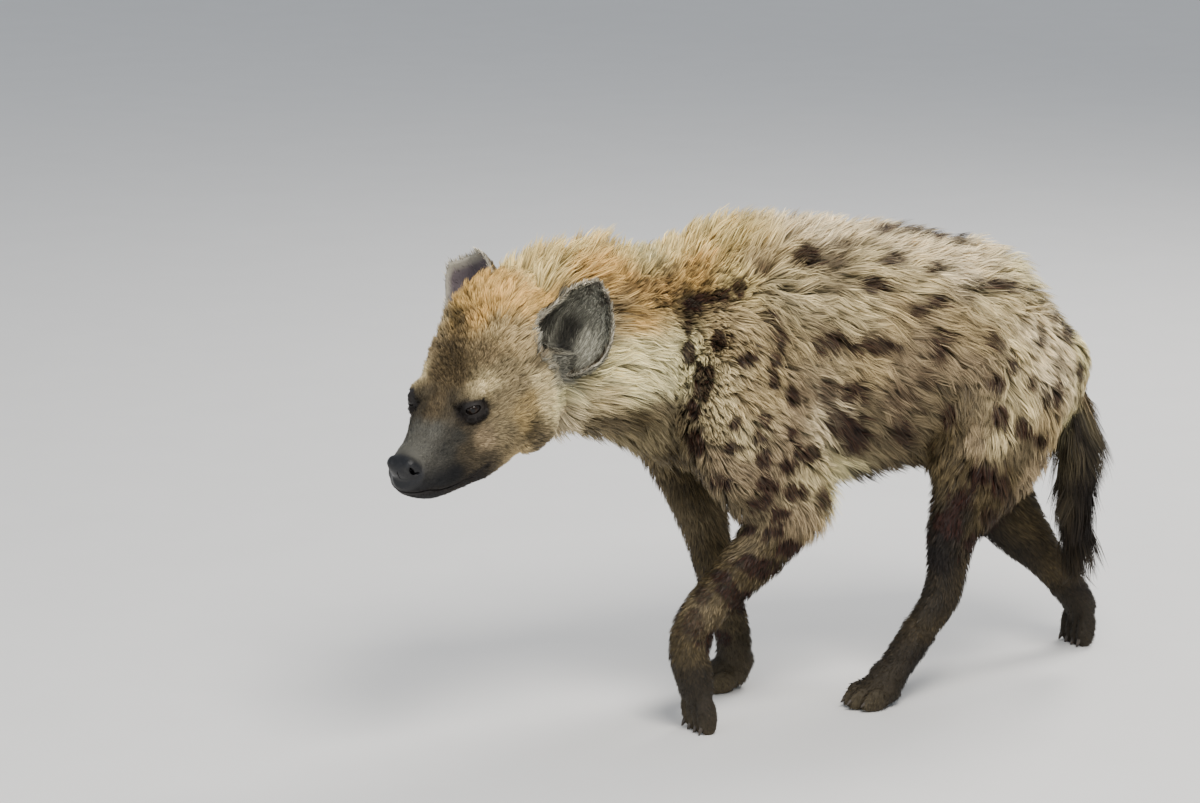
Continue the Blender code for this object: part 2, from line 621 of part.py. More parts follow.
def lock_mesh(shape, along, turn, run, swing, width, thick, lift, count):
    """A flat tapered lock: it leaves the core, bends down along the coat and ends in a point."""
    coat = coat_at(shape, along, turn)
    core = core_depth(coat)
    if count == 3:
        steps = ((0, core + 0.013, 0.80), (0.32, core * 0.62, 1), (0.68, 0.15 * coat, 0.72), (1, -lift, 0))
    else:
        steps = ((0, core + 0.013, 0.85), (0.48, core * 0.42, 1), (1, -lift, 0))
    places = [(along + run / shape[4] * t, turn + swing * t * t, depth) for t, depth, _ in steps]
    points = [surface_point(shape, *place) for place in places]
    unders = [surface_point(shape, a, r, depth + 0.01) for a, r, depth in places]
    rings = []
    bm = bmesh.new()
    for n in range(count):
        ahead = (points[n + 1] - points[max(n - 1, 0)]).normalized()
        over = (points[n] - unders[n]).normalized()
        side = ahead.cross(over).normalized()
        over = side.cross(ahead)
        half = width * steps[n][2] / 2
        deep = thick * (0.7 if n == 2 else 1)
        edge = points[n] - over * deep * 0.3
        ring = [edge + side * half, points[n] + over * deep * 0.7, edge - side * half]
        rings.append([bm.verts.new(p) for p in ring])
    tip = bm.verts.new(points[-1])
    for low, top in zip(rings, rings[1:]):
        for i in range(3):
            bm.faces.new((low[i], low[(i + 1) % 3], top[(i + 1) % 3], top[i]))
    for i in range(3):
        bm.faces.new((rings[-1][i], rings[-1][(i + 1) % 3], tip))
    bm.faces.new(rings[0][::-1])
    bmesh.ops.recalc_face_normals(bm, faces=bm.faces)
    mesh = bpy.data.meshes.new("lock")
    bm.to_mesh(mesh)
    bm.free()
    return mesh, points


def add_locks(whole, ears, on_head):
    """Grows the locks of the coat out of the body or the head in one union."""
    rng = np.random.default_rng(7)
    group = bpy.data.collections.new("locks")
    bpy.context.scene.collection.children.link(group)
    for stations, rows, columns, run, swing, width, thick, lift, count in LOCKS.values():
        if (stations is HEAD_STATIONS) != on_head:
            continue
        shape = surface_of(stations)
        for i, along in enumerate(np.linspace(*rows)):
            for j in range(columns[2]):
                step = (columns[1] - columns[0]) / max(columns[2] - 1, 1)
                turn = radians(columns[0] + step * (j + (0.5 if i % 2 else 0) + rng.uniform(-0.12, 0.12)))
                place = along + rng.uniform(-0.012, 0.012)
                coat = coat_at(shape, place, turn)
                root = surface_point(shape, place, turn, core_depth(coat))
                found = whole.closest_point_on_mesh(root)
                if (found[1] - root).length > 0.011 or coat < 0.015:
                    continue
                down = -np.sign(cos(turn)) * (1 if shape[1][0][2] > -0.5 else 0.6)
                reach = max(run * rng.uniform(0.88, 1.14), -0.9 * place * shape[4])
                mesh, points = lock_mesh(
                    shape, place, turn, reach, down * radians(swing) * rng.uniform(0.6, 1.4),
                    width * rng.uniform(0.88, 1.12), thick, lift * rng.uniform(0.2, 1.6), count,
                )
                if any((ear.closest_point_on_mesh(p)[1] - p).length < 0.024 for ear in ears for p in points):
                    continue
                group.objects.link(bpy.data.objects.new("lock", mesh))
    modifier = whole.modifiers.new("coat", "BOOLEAN")
    modifier.operation = "UNION"
    modifier.solver = "MANIFOLD"
    modifier.operand_type = "COLLECTION"
    modifier.collection = group
    apply_modifiers(whole)
    for obj in list(group.objects):
        bpy.data.objects.remove(obj, do_unlink=True)
    bpy.data.collections.remove(group)


def make_paws():
    """The four paws, each finer than the body and joined to it above the toes."""
    paws = []

    def fore_left(bm):
        loft(bm, FORE_LEFT[-4:], 12, 16, grow=0.0015)
        hanging_paw(bm, (0.286, 0.105, 0.060), 0.0195, -0.008)

    def fore_right(bm):
        loft(bm, FORE_RIGHT[-3:], 12, 16, grow=0.0015)
        flat_paw(bm, (0.134, -0.092), 0.0200)

    def hind_left(bm):
        loft(bm, HIND_LEFT[-3:], 12, 16, grow=0.0015)
        flat_paw(bm, (-0.036, 0.100), 0.0190)

    def hind_right(bm):
        loft(bm, HIND_RIGHT[-3:], 12, 16, grow=0.0015)
        hanging_paw(bm, (-0.512, -0.090, 0.058), 0.0185, 0.006)

    for add in (fore_left, fore_right, hind_left, hind_right):
        paws.append(fused("paw", add, PAW_VOXEL, 2, PAW_TRIANGLES))
    return paws


def part_leg(rest, names, sleeve, cuts):
    """Parts a leg from the trunk inside its sleeve, then across at its joints."""
    upper = take(rest, names[0], lambda bm, grow: stack(bm, sleeve, 11, 10, grow))
    keep_largest(upper)
    pieces = [upper]
    for name, (point, normal) in zip(names[1:], cuts):
        lower = take_beyond(pieces[-1], name, point, normal)
        pieces.append(lower)
    return pieces


def centre_on_floor(pieces):
    """Moves everything so that the origin is the centre of the whole box's underside."""
    points = [np.array([v.co[:] for v in piece.data.vertices]) for piece in pieces]
    low = np.min([p.min(axis=0) for p in points], axis=0)
    high = np.max([p.max(axis=0) for p in points], axis=0)
    shift = Matrix.Translation((-(low[0] + high[0]) / 2, -(low[1] + high[1]) / 2, -low[2]))
    for piece in pieces:
        piece.data.transform(shift)


def colour(piece):
    """Gives the piece its own plain material and smooth shading."""
    shade = next(value for key, value in COLOURS.items() if piece.name.startswith(key))
    material = bpy.data.materials.new(piece.name)
    material.use_nodes = True
    bsdf = material.node_tree.nodes["Principled BSDF"]
    bsdf.inputs["Base Color"].default_value = (*shade, 1)
    bsdf.inputs["Roughness"].default_value = 0.25 if piece.name.startswith("eye") else 0.85
    piece.data.materials.clear()
    piece.data.materials.append(material)
    piece.data.shade_smooth()


def main():
    clear_scene()
    whole = fused("torso", body_blocks, BODY_VOXEL, 3, BODY_TRIANGLES)
    head = fused("head", head_blocks, HEAD_VOXEL, 3, HEAD_TRIANGLES)
    shape_face(head)
    core = copy_of(whole, "core")
    boolean(core, copy_of(head, "cutter"), "UNION")
    ears = [make_ear(1, "ear_left", 0.46, 0.56), make_ear(-1, "ear_right", 0.42, -0.05)]
    eyes = [make_eye(1, "eye_left"), make_eye(-1, "eye_right")]
    for ear in ears:
        boolean(ear, grown(core, GAP), "DIFFERENCE")
        keep_largest(ear)
    bpy.data.objects.remove(core, do_unlink=True)
    add_locks(whole, ears, False)
    add_locks(head, ears, True)
    boolean(whole, head, "UNION")
    for paw in make_paws():
        boolean(whole, paw, "UNION")
    floor = solid("cutter", lambda bm: half_space(bm, (0, 0, 0), (0, 0, -1), 3.0))
    boolean(whole, floor, "DIFFERENCE")

    pieces = []
    tail = take(whole, "tail", lambda bm, grow: stack(bm, TAIL_SLEEVE, 9, 10, grow))
    pieces.append(tail)
    pieces += part_leg(
        whole, ("upper_arm_left", "forearm_left", "forepaw_left"), leg_sleeve(FORE_LEFT),
        (((0.156, 0.12, 0.318), (0.35, 0, -0.94)), ((0.299, 0.107, 0.142), (0.03, 0, -1))),
    )
    pieces += part_leg(
        whole, ("upper_arm_right", "forearm_right", "forepaw_right"),
        leg_sleeve(FORE_RIGHT),
        (((0.188, -0.10, 0.320), (-0.28, 0, -0.96)), ((0.132, -0.092, 0.105), (-0.25, 0, -1))),
    )
    pieces += part_leg(
        whole, ("thigh_left", "shank_left", "hindpaw_left"), leg_sleeve(HIND_LEFT),
        (((-0.172, 0.106, 0.300), (0.35, 0, -0.94)), ((-0.135, 0.101, 0.155), (0.60, 0, -0.80))),
    )
    pieces += part_leg(
        whole, ("thigh_right", "shank_right", "hindpaw_right"),
        leg_sleeve(HIND_RIGHT),
        (((-0.305, -0.10, 0.310), (-0.50, 0, -0.86)), ((-0.450, -0.092, 0.142), (-0.70, 0, -0.72))),
    )
    throat = HEAD @ Vector((-0.072, 0, 0))
    pieces.append(take_beyond(whole, "head", throat, HEAD.to_3x3() @ Vector((1, 0, 0))))
    pieces.append(take_beyond(whole, "neck", (0.355, 0, 0.62), (0.956, 0, 0.292)))
    pieces += ears + eyes + [whole]
    for piece in pieces:
        keep_largest(piece)
    centre_on_floor(pieces)
    for piece in pieces:
        colour(piece)


if __name__ == "__main__":
    main()
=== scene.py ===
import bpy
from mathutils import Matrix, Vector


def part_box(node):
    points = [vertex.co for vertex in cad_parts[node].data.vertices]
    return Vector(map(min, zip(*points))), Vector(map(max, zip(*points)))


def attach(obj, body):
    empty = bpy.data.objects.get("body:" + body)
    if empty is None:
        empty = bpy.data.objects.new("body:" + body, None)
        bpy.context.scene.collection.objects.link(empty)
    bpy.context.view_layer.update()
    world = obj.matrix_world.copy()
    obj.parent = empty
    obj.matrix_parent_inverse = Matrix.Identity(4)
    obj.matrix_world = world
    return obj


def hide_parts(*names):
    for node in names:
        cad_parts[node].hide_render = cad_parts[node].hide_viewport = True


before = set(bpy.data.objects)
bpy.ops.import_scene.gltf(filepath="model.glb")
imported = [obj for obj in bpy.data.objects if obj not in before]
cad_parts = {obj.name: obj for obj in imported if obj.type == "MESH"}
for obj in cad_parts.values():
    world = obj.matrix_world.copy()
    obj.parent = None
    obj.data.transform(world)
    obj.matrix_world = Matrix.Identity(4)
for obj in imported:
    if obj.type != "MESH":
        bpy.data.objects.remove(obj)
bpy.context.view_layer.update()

from math import cos, pi, radians, sin

import bmesh
import bpy
import numpy as np
from mathutils import Euler, Matrix, Vector
from mathutils.bvhtree import BVHTree
from mathutils.kdtree import KDTree

# Everything is modelled round a point under mid trunk, as the solids were, and moved to
# their frame at the end. Metres, +X towards the head, +Y towards the hyena's left.
skull = {
    "origin": (0.5755, 0.0525, 0.552),
    "turns": (0.5, 14, 28),  # roll, dip and turn to the left, in degrees
    "eye": (0.143, 0.0525, 0.036),  # left eye, in the head's own frame
    "eyeRadius": 0.0134,
    "lid": 0.0024,
}
headTurn = Euler([radians(a) for a in skull["turns"]]).to_matrix()
headFrame = Matrix.Translation(skull["origin"]) @ headTurn.to_4x4()
toRow = sum(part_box("eye_left"), Vector()) / 2 - headFrame @ Vector(skull["eye"])

# Camera of the photo, round a target in the modelling frame
photo = {
    "target": (0.40, 0.0, 0.504),
    "distance": 6.5,
    "yaw": 25,
    "elevation": 12,
    "pixelsPerMetre": 660,
    "width": 1200,
    "height": 803,
}

# Stations of each form, in millimetres: centre x, y, z, half width, reach to the back or
# front, reach to the belly or rear, depth of the coat there, depth of the coat on the sides
forms = {
    "trunk": [
        (-428, 0, 465, 30, 45, 50, 10, 8), (-400, 0, 485, 88, 78, 110, 25, 18),
        (-345, 0, 505, 130, 112, 135, 40, 26), (-260, 0, 520, 138, 168, 155, 45, 30),
        (-150, 0, 540, 138, 190, 185, 45, 32), (-20, 0, 560, 148, 198, 218, 50, 34),
        (100, 0, 575, 158, 200, 225, 55, 34), (200, 0, 585, 156, 198, 212, 65, 32),
        (290, 2, 600, 142, 184, 195, 70, 30), (365, 6, 612, 128, 167, 172, 70, 30),
        (440, 16, 618, 114, 154, 162, 65, 30), (510, 32, 612, 104, 150, 150, 58, 26),
        (560, 46, 596, 94, 142, 132, 48, 18), (592, 58, 578, 58, 88, 80, 24, 10),
    ],
    "head": [
        (-78, 0, 22, 58, 110, 70, 34, 15), (-45, 0, 22, 88, 168, 102, 40, 15),
        (-5, 0, 18, 98, 176, 110, 38, 12), (35, 0, 10, 98, 146, 102, 28, 10),
        (75, 0, 0, 90, 119, 94, 14, 8), (112, 0, -10, 78, 88, 90, 8, 6), (147, 0, -18, 68, 68, 83, 5, 5),
        (178, 0, -27, 54, 55, 70, 3, 4), (206, 0, -34, 46, 48, 56, 2, 3), (232, 0, -37, 42, 43, 42, 2, 2),
        (251, 0, -36, 35, 34, 28, 1, 2), (263, 0, -32, 18, 18, 15, 0, 0),
    ],
    "foreLeft": [
        (215, 80, 640, 45, 70, 70, 20, 20), (228, 105, 560, 66, 110, 102, 26, 28),
        (212, 120, 470, 66, 112, 112, 24, 26), (175, 122, 395, 56, 92, 98, 18, 20),
        (152, 120, 340, 48, 74, 74, 12, 14), (172, 116, 290, 41, 56, 54, 10, 10),
        (218, 112, 243, 36, 45, 44, 8, 8), (264, 109, 202, 33, 38, 38, 6, 6),
        (295, 107, 160, 34, 36, 36, 6, 6), (300, 106, 120, 34, 31, 32, 5, 5),
        (292, 105, 85, 35, 28, 30, 4, 4), (286, 105, 60, 31, 26, 26, 3, 3),
    ],
    "foreRight": [
        (215, -80, 640, 45, 70, 70, 20, 20), (238, -102, 560, 66, 102, 102, 26, 28),
        (228, -112, 470, 64, 96, 98, 24, 26), (208, -108, 395, 54, 75, 85, 16, 20),
        (192, -103, 335, 44, 56, 64, 11, 12), (174, -99, 265, 37, 42, 46, 9, 10),
        (156, -95, 190, 32, 35, 36, 7, 7), (140, -93, 132, 32, 35, 34, 6, 6),
        (126, -92, 85, 30, 29, 30, 5, 5), (122, -92, 50, 32, 30, 28, 4, 4),
    ],
    "hindLeft": [
        (-270, 70, 600, 45, 80, 80, 20, 20), (-262, 90, 520, 68, 125, 120, 26, 28),
        (-232, 103, 440, 66, 116, 120, 22, 26), (-205, 106, 375, 58, 94, 103, 16, 22),
        (-180, 106, 315, 48, 65, 68, 12, 14), (-156, 105, 258, 38, 46, 46, 8, 10),
        (-150, 103, 212, 32, 36, 38, 6, 8), (-143, 101, 170, 30, 34, 36, 5, 6),
        (-108, 100, 118, 28, 30, 30, 5, 5), (-70, 100, 68, 29, 27, 27, 4, 4),
        (-52, 100, 45, 30, 26, 24, 4, 4),
    ],
    "hindRight": [
        (-275, -70, 600, 45, 80, 80, 20, 20), (-280, -90, 520, 68, 115, 110, 26, 28),
        (-285, -102, 440, 66, 105, 110, 22, 26), (-292, -103, 365, 60, 86, 108, 16, 22),
        (-315, -100, 300, 50, 70, 98, 12, 14), (-355, -97, 245, 41, 56, 76, 8, 10),
        (-398, -94, 196, 34, 46, 56, 6, 8), (-438, -92, 155, 30, 36, 40, 5, 6),
        (-472, -91, 115, 27, 30, 30, 5, 5), (-502, -90, 80, 28, 28, 28, 4, 4),
        (-514, -90, 62, 29, 27, 26, 4, 4),
    ],
    "tail": [
        (-365, 0, 548, 28, 32, 32, 10, 10), (-398, 4, 515, 30, 32, 34, 14, 14),
        (-422, 8, 462, 32, 32, 34, 18, 18), (-432, 12, 400, 40, 38, 38, 26, 26),
        (-434, 14, 330, 44, 42, 42, 32, 32), (-436, 15, 260, 40, 40, 40, 32, 32),
        (-438, 15, 200, 26, 28, 28, 22, 22), (-440, 15, 155, 6, 7, 7, 4, 4),
    ],
}
formNames = list(forms)
legPairs = (("foreLeft", "foreRight"), ("hindLeft", "hindRight"))
otherSide = {name: other for pair in legPairs for name, other in (pair, pair[::-1])}

# Coat colours as screen values, 0 to 255
fur = {
    "noseBlack": (17, 17, 19),
    # the muzzle's grey, lightened by a painted sheen for its top
    "muzzle": (84, 82, 74),
    "bridge": (72, 63, 47),
    "brow": (102, 86, 60),
    "forehead": (140, 121, 88),
    "golden": (212, 172, 100),
    "paleGold": (228, 204, 138),
    "cream": (234, 221, 168),
    "pale": (230, 211, 170),
    "straw": (206, 187, 141),
    "sandy": (178, 156, 113),
    "tan": (142, 126, 94),
    "curl": (188, 152, 94),
    "ochre": (152, 130, 86),
    "taupe": (148, 129, 99),
    "greyBrown": (104, 91, 67),
    "umber": (78, 66, 43),
    "dark": (44, 37, 26),
    "black": (26, 20, 16),
    "rust": (76, 36, 23),
    "ink": (26, 16, 12),
    "earGrey": (170, 167, 150),
    "earDark": (54, 52, 46),
    "earRim": (206, 198, 178),
    "earBack": (106, 90, 64),
    "earViolet": (112, 100, 104),
}

# Where each colour lies on the near side, in pixels of the photo
colourPlaces = {
    "noseBlack": [(400, 470), (440, 484), (425, 500), (415, 492), (454, 474)],
    # places on the top of the muzzle, where its grey carries a painted sheen
    "muzzle": [(432, 430), (420, 448)],
    "bridge": [(432, 396), (440, 412), (482, 462), (466, 452), (466, 428)],
    "brow": [(437, 372), (452, 350)],
    "forehead": [(432, 345), (480, 345)],
    "golden": [
        (470, 300), (500, 280), (520, 300), (482, 312), (548, 296), (500, 300), (636, 318), (700, 250),
        (590, 266), (625, 262), (700, 270), (610, 275),
    ],
    "paleGold": [
        (545, 272), (560, 250), (610, 238), (660, 225), (695, 222), (730, 235), (650, 255), (740, 270),
    ],
    "cream": [
        (562, 395), (620, 365), (650, 360), (635, 350), (680, 355), (640, 385), (670, 380), (630, 225),
        (835, 465), (845, 500), (1015, 262), (1085, 350), (1070, 410),
    ],
    "pale": [
        (560, 420), (820, 420), (815, 235), (850, 222), (905, 245), (965, 250), (960, 275), (1000, 250),
        (1030, 330), (1060, 350), (1050, 380),
    ],
    "straw": [
        (487, 384), (540, 375), (548, 400), (610, 400), (790, 290), (725, 385), (720, 405), (745, 440),
        (815, 480), (870, 265), (860, 305), (920, 280), (985, 300), (1020, 310), (1020, 350), (1020, 400),
        (1000, 440), (1084, 392),
    ],
    "sandy": [
        (497, 334), (520, 450), (520, 335), (500, 320), (620, 320), (760, 260), (730, 325), (735, 345),
        (770, 345), (750, 400), (770, 385), (830, 525), (900, 315), (870, 370), (950, 320), (980, 340),
        (1050, 425),
    ],
    "tan": [(505, 368), (500, 400), (520, 385), (505, 430), (840, 270)],
    "curl": [(468, 312), (640, 280), (670, 284)],
    "ochre": [(530, 402), (522, 420)],
    "taupe": [
        (482, 440), (800, 400), (790, 445), (720, 465), (745, 475), (770, 470), (805, 520), (900, 360),
        (930, 340), (890, 395), (960, 370), (975, 365), (975, 440), (1030, 475), (1092, 405),
    ],
    # greyBrown and umber: darker coat, and where they lie low on the body and legs, painted shade too
    "greyBrown": [
        (541, 442), (545, 345), (540, 365), (660, 402), (682, 418), (610, 420), (700, 470), (745, 510),
        (720, 520), (740, 545), (730, 600), (705, 618), (870, 410), (915, 420), (860, 440), (890, 450),
        (940, 405), (960, 400), (1015, 455),
    ],
    "umber": [
        (533, 432), (552, 330), (640, 415), (680, 455), (692, 300), (690, 490), (780, 560), (745, 585),
        (690, 640), (690, 560), (715, 550), (905, 465), (945, 440), (960, 430), (985, 500), (1010, 470),
        (965, 470), (980, 520), (1030, 520), (1060, 560),
    ],
    "dark": [
        (700, 690), (872, 466), (965, 515), (925, 585), (930, 600), (1080, 610), (1094, 425), (1110, 450),
    ],
    "black": [
        (462, 490), (474, 480), (947, 530), (935, 560), (1080, 440), (1090, 480), (1090, 530), (1085, 570),
    ],
    "earDark": [(446, 452), (458, 436)],
}

# Spots on the near side: pixel x, y, half length across, half length up, strength
spots = [
    (693, 304, 7, 6, 0.8), (708, 298, 9, 5, 0.9), (720, 297, 7, 6, 0.8), (739, 288, 8, 8, 1),
    (692, 316, 4, 5, 0.4), (688, 328, 5, 7, 0.6), (689, 355, 6, 11, 1), (702, 384, 9, 17, 1),
    (694, 410, 7, 9, 0.9), (696, 441, 8, 11, 1), (718, 343, 8, 8, 0.9), (747, 359, 9, 7, 0.9),
    (769, 318, 5, 9, 0.9), (782, 341, 6, 12, 0.8), (777, 361, 5, 9, 0.7), (775, 380, 6, 11, 0.7),
    (792, 396, 6, 11, 0.7), (761, 265, 7, 8, 0.5), (735, 424, 6, 7, 0.7), (767, 422, 5, 9, 0.9),
    (792, 433, 5, 7, 0.8), (731, 448, 7, 7, 0.8), (761, 439, 7, 6, 0.7), (763, 461, 6, 9, 0.9),
    (810, 455, 9, 8, 0.9), (788, 467, 8, 8, 1), (722, 484, 10, 6, 0.8), (767, 486, 11, 7, 1),
    (794, 494, 10, 8, 1), (761, 502, 10, 6, 0.9), (824, 502, 7, 9, 0.9), (782, 514, 8, 6, 0.8),
    (808, 255, 12, 9, 0.9), (835, 259, 10, 6, 0.4), (845, 243, 10, 5, 0.5), (873, 284, 12, 8, 0.9),
    (892, 259, 10, 6, 0.7), (833, 343, 16, 11, 0.95), (880, 347, 18, 9, 0.95), (855, 392, 12, 11, 0.8),
    (829, 396, 9, 17, 0.6), (843, 424, 14, 10, 0.7), (936, 266, 9, 6, 0.8), (939, 301, 11, 7, 1),
    (922, 310, 12, 6, 0.8), (968, 296, 6, 8, 0.5), (940, 356, 9, 10, 0.9), (942, 341, 7, 8, 0.7),
    (927, 381, 8, 12, 0.5), (902, 400, 10, 14, 0.5), (904, 434, 9, 12, 0.6), (854, 440, 13, 14, 0.7),
    (950, 416, 6, 9, 0.8), (886, 227, 12, 5, 0.7), (916, 225, 14, 6, 0.8), (939, 231, 12, 6, 0.8),
    (959, 238, 10, 5, 0.6), (1000, 285, 18, 6, 0.9), (991, 340, 4, 10, 0.8), (1003, 347, 4, 8, 0.6),
    (1042, 338, 5, 10, 0.8), (1069, 333, 5, 10, 0.8), (1056, 317, 5, 7, 0.6), (1014, 365, 4, 7, 0.7),
    (1033, 384, 5, 7, 1), (1058, 397, 5, 12, 0.8), (1047, 400, 4, 8, 0.7), (1080, 372, 4, 8, 0.8),
    (996, 384, 9, 8, 0.8), (1001, 418, 9, 9, 1), (1024, 430, 8, 11, 1), (1040, 443, 6, 8, 0.8),
    (985, 475, 13, 10, 0.9), (1001, 488, 8, 11, 0.6), (1060, 365, 5, 9, 0.5), (774, 533, 10, 6, 0.9),
    (792, 546, 9, 6, 0.9), (756, 563, 18, 6, 0.9), (743, 601, 15, 9, 0.9), (722, 577, 9, 6, 0.7),
    (715, 640, 10, 8, 0.7), (745, 530, 8, 6, 0.7), (948, 525, 12, 11, 0.8), (975, 545, 9, 9, 0.6),
    (781, 515, 8, 6, 0.8), (791, 552, 9, 6, 0.7), (760, 572, 12, 6, 0.8), (726, 590, 9, 6, 0.7),
    (738, 604, 10, 7, 0.8), (704, 596, 8, 7, 0.5), (692, 625, 8, 10, 0.5), (962, 500, 9, 9, 0.7),
    (990, 520, 7, 9, 0.5), (1008, 500, 7, 9, 0.4),
]


def linear(values):
    c = np.asarray(values, float) / 255
    return np.where(c <= 0.04045, c / 12.92, ((c + 0.055) / 1.055) ** 2.4)


def unit(vectors):
    return vectors / np.maximum(np.linalg.norm(vectors, axis=-1, keepdims=True), 1e-9)


def ramp(x, low, high):
    t = np.clip((x - low) / (high - low), 0, 1)
    return t * t * (3 - 2 * t)


def fade(x, low, high):
    return 1 - ramp(x, low, high)


def waves(points, size, seed, count=7):  # smooth noise of about that size, -1 to 1
    rng = np.random.default_rng(seed)
    total = 0
    for _ in range(count):
        way = rng.normal(size=3)
        way *= 2 * pi / (size * rng.uniform(0.7, 1.5)) / np.linalg.norm(way)
        total = total + np.sin(points @ way + rng.uniform(0, 2 * pi))
    return total / count**0.5 * 0.9


# The camera's view of the photo
yaw, elevation = radians(photo["yaw"]), radians(photo["elevation"])
level = np.array((sin(yaw), cos(yaw), 0.0))
viewRight = np.array((-cos(yaw), sin(yaw), 0.0))
viewBack = level * cos(elevation) + np.array((0, 0, sin(elevation)))
viewUp = np.array((0, 0, cos(elevation))) - level * sin(elevation)
viewTarget = np.array(photo["target"])
eyePoint = viewTarget + viewBack * photo["distance"]


def toPixels(points):
    q = points - viewTarget
    scale = photo["pixelsPerMetre"] * photo["distance"] / (photo["distance"] - q @ viewBack)
    return photo["width"] / 2 + scale * (q @ viewRight), photo["height"] / 2 - scale * (q @ viewUp)


def pixelRay(px, py):
    focal = photo["pixelsPerMetre"] * photo["distance"]
    way = (px - photo["width"] / 2) * viewRight - (py - photo["height"] / 2) * viewUp - focal * viewBack
    return Vector(eyePoint), Vector(way).normalized()


# Forms and meshes
formShape = {"squareness": 2.2, "pastEnds": 0.03}


def smoothRows(rows, count):  # a curve through the stations, evenly spaced, in metres
    rows = np.array(rows) / 1000
    steps = np.linalg.norm(np.diff(rows[:, :3], axis=0), axis=1)
    at = np.concatenate([[0], np.cumsum(steps)])
    slopes = np.gradient(rows, at, axis=0)
    wanted = np.linspace(0, at[-1], count)
    cell = np.clip(np.searchsorted(at, wanted, side="right") - 1, 0, len(at) - 2)
    width = (at[cell + 1] - at[cell])[:, None]
    t = ((wanted - at[cell]) / width[:, 0])[:, None]
    a, b = rows[cell], rows[cell + 1]
    ta, tb = slopes[cell] * width, slopes[cell + 1] * width
    return (
        (2 * t**3 - 3 * t**2 + 1) * a + (t**3 - 2 * t**2 + t) * ta
        + (3 * t**2 - 2 * t**3) * b + (t**3 - t**2) * tb
    )


def squarish(angles):  # a rounded square's place across and up
    power = 2 / formShape["squareness"]
    return [np.sign(part) * np.abs(part) ** power for part in (np.cos(angles), np.sin(angles))]


def tube(bm, rings):
    rings = [[bm.verts.new(p) for p in ring] for ring in rings]
    for low, top in zip(rings, rings[1:]):
        for i in range(len(low)):
            j = (i + 1) % len(low)
            bm.faces.new((low[i], low[j], top[j], top[i]))
    bm.faces.new(rings[0][::-1])
    bm.faces.new(rings[-1])


class Form:  # one lofted form, its rows spaced evenly
    def __init__(self, name, rows=None, count=80):
        place = np.array(headFrame if name == "head" else Matrix.Identity(4))
        self.turn, self.origin = place[:3, :3], place[:3, 3]
        self.rows = smoothRows(rows or forms[name], count)
        self.last = count - 1
        self.centres = self.rows[:, :3]
        self.tangents = unit(np.gradient(self.centres, axis=0))
        self.sides = unit(np.array((0, 1, 0)) - self.tangents[:, 1:2] * self.tangents)
        self.ups = np.cross(self.tangents, self.sides)
        self.step = np.linalg.norm(np.diff(self.centres, axis=0), axis=1).mean()
        self.width = self.rows[:, 3] - self.rows[:, 7]
        self.top = self.rows[:, 4] - self.rows[:, 6]
        self.low = self.rows[:, 5] - self.rows[:, 7]

    def locate(self, points):  # how far along and round it a point lies, and how far out, 1 on the skin
        local = (points - self.origin) @ self.turn
        i = ((self.centres**2).sum(1) - 2 * local @ self.centres.T).argmin(1)
        off = local - self.centres[i]
        slip, a, b = ((off * part[i]).sum(1) for part in (self.tangents, self.sides, self.ups))
        a = a / self.width[i]
        b = b / np.where(b > 0, self.top[i], self.low[i])
        power = formShape["squareness"]
        out = (np.abs(a) ** power + np.abs(b) ** power) ** (1 / power)
        out = np.hypot(out, np.maximum(np.abs(slip) - self.step, 0) / formShape["pastEnds"])
        return (i + slip / self.step) / self.last, np.arctan2(b, a), out

    def rowAt(self, along):
        return np.clip(np.round(along * self.last).astype(int), 0, self.last)

    def tangentAt(self, along):
        return self.tangents[self.rowAt(along)] @ self.turn.T

    def coatAt(self, along, angle):
        i = self.rowAt(along)
        up = np.maximum(np.sin(angle), 0) ** 2
        return self.rows[i, 6] * up + self.rows[i, 7] * (1 - up)

    def pointAt(self, along, angle):
        at = np.clip(along, 0, 1) * self.last
        i = np.minimum(at.astype(int), self.last - 1)
        t = (at - i)[:, None]
        lines = (self.centres, self.sides, self.ups)
        centre, side, up = ((1 - t) * part[i] + t * part[i + 1] for part in lines)
        wide, high = squarish(angle)
        reach = np.where(high > 0, self.top[i], self.low[i])
        local = centre + side * (wide * self.width[i])[:, None] + up * (high * reach)[:, None]
        return local @ self.turn.T + self.origin

    def loft(self, bm, sides, grow=0.0):
        wide, high = squarish(np.arange(sides) * 2 * pi / sides)
        rings = []
        for i, centre in enumerate(self.centres):
            reach = np.where(high > 0, self.top[i], self.low[i]) + grow
            across = np.outer((self.width[i] + grow) * wide, self.sides[i])
            rings.append((centre + across + np.outer(reach * high, self.ups[i])) @ self.turn.T + self.origin)
        tube(bm, rings)


def ball(bm, centre, radii, turn=(0, 0, 0), place=Matrix.Identity(4), sides=32):
    shape = Matrix.Translation(centre) @ Euler(turn).to_matrix().to_4x4() @ Matrix.Diagonal((*radii, 1))
    bmesh.ops.create_uvsphere(bm, u_segments=sides, v_segments=sides // 2, radius=1, matrix=place @ shape)


def solid(name, addParts):
    bm = bmesh.new()
    addParts(bm)
    mesh = bpy.data.meshes.new(name)
    bm.to_mesh(mesh)
    bm.free()
    obj = bpy.data.objects.new(name, mesh)
    bpy.context.scene.collection.objects.link(obj)
    return obj


def applyModifiers(obj):
    graph = bpy.context.evaluated_depsgraph_get()
    mesh = bpy.data.meshes.new_from_object(obj.evaluated_get(graph))
    obj.modifiers.clear()
    old = obj.data
    obj.data = mesh
    bpy.data.meshes.remove(old)


def boolean(obj, other, operation="DIFFERENCE"):
    modifier = obj.modifiers.new("shape", "BOOLEAN")
    modifier.operation = operation
    modifier.solver = "MANIFOLD"
    modifier.object = other
    applyModifiers(obj)
    bpy.data.objects.remove(other, do_unlink=True)


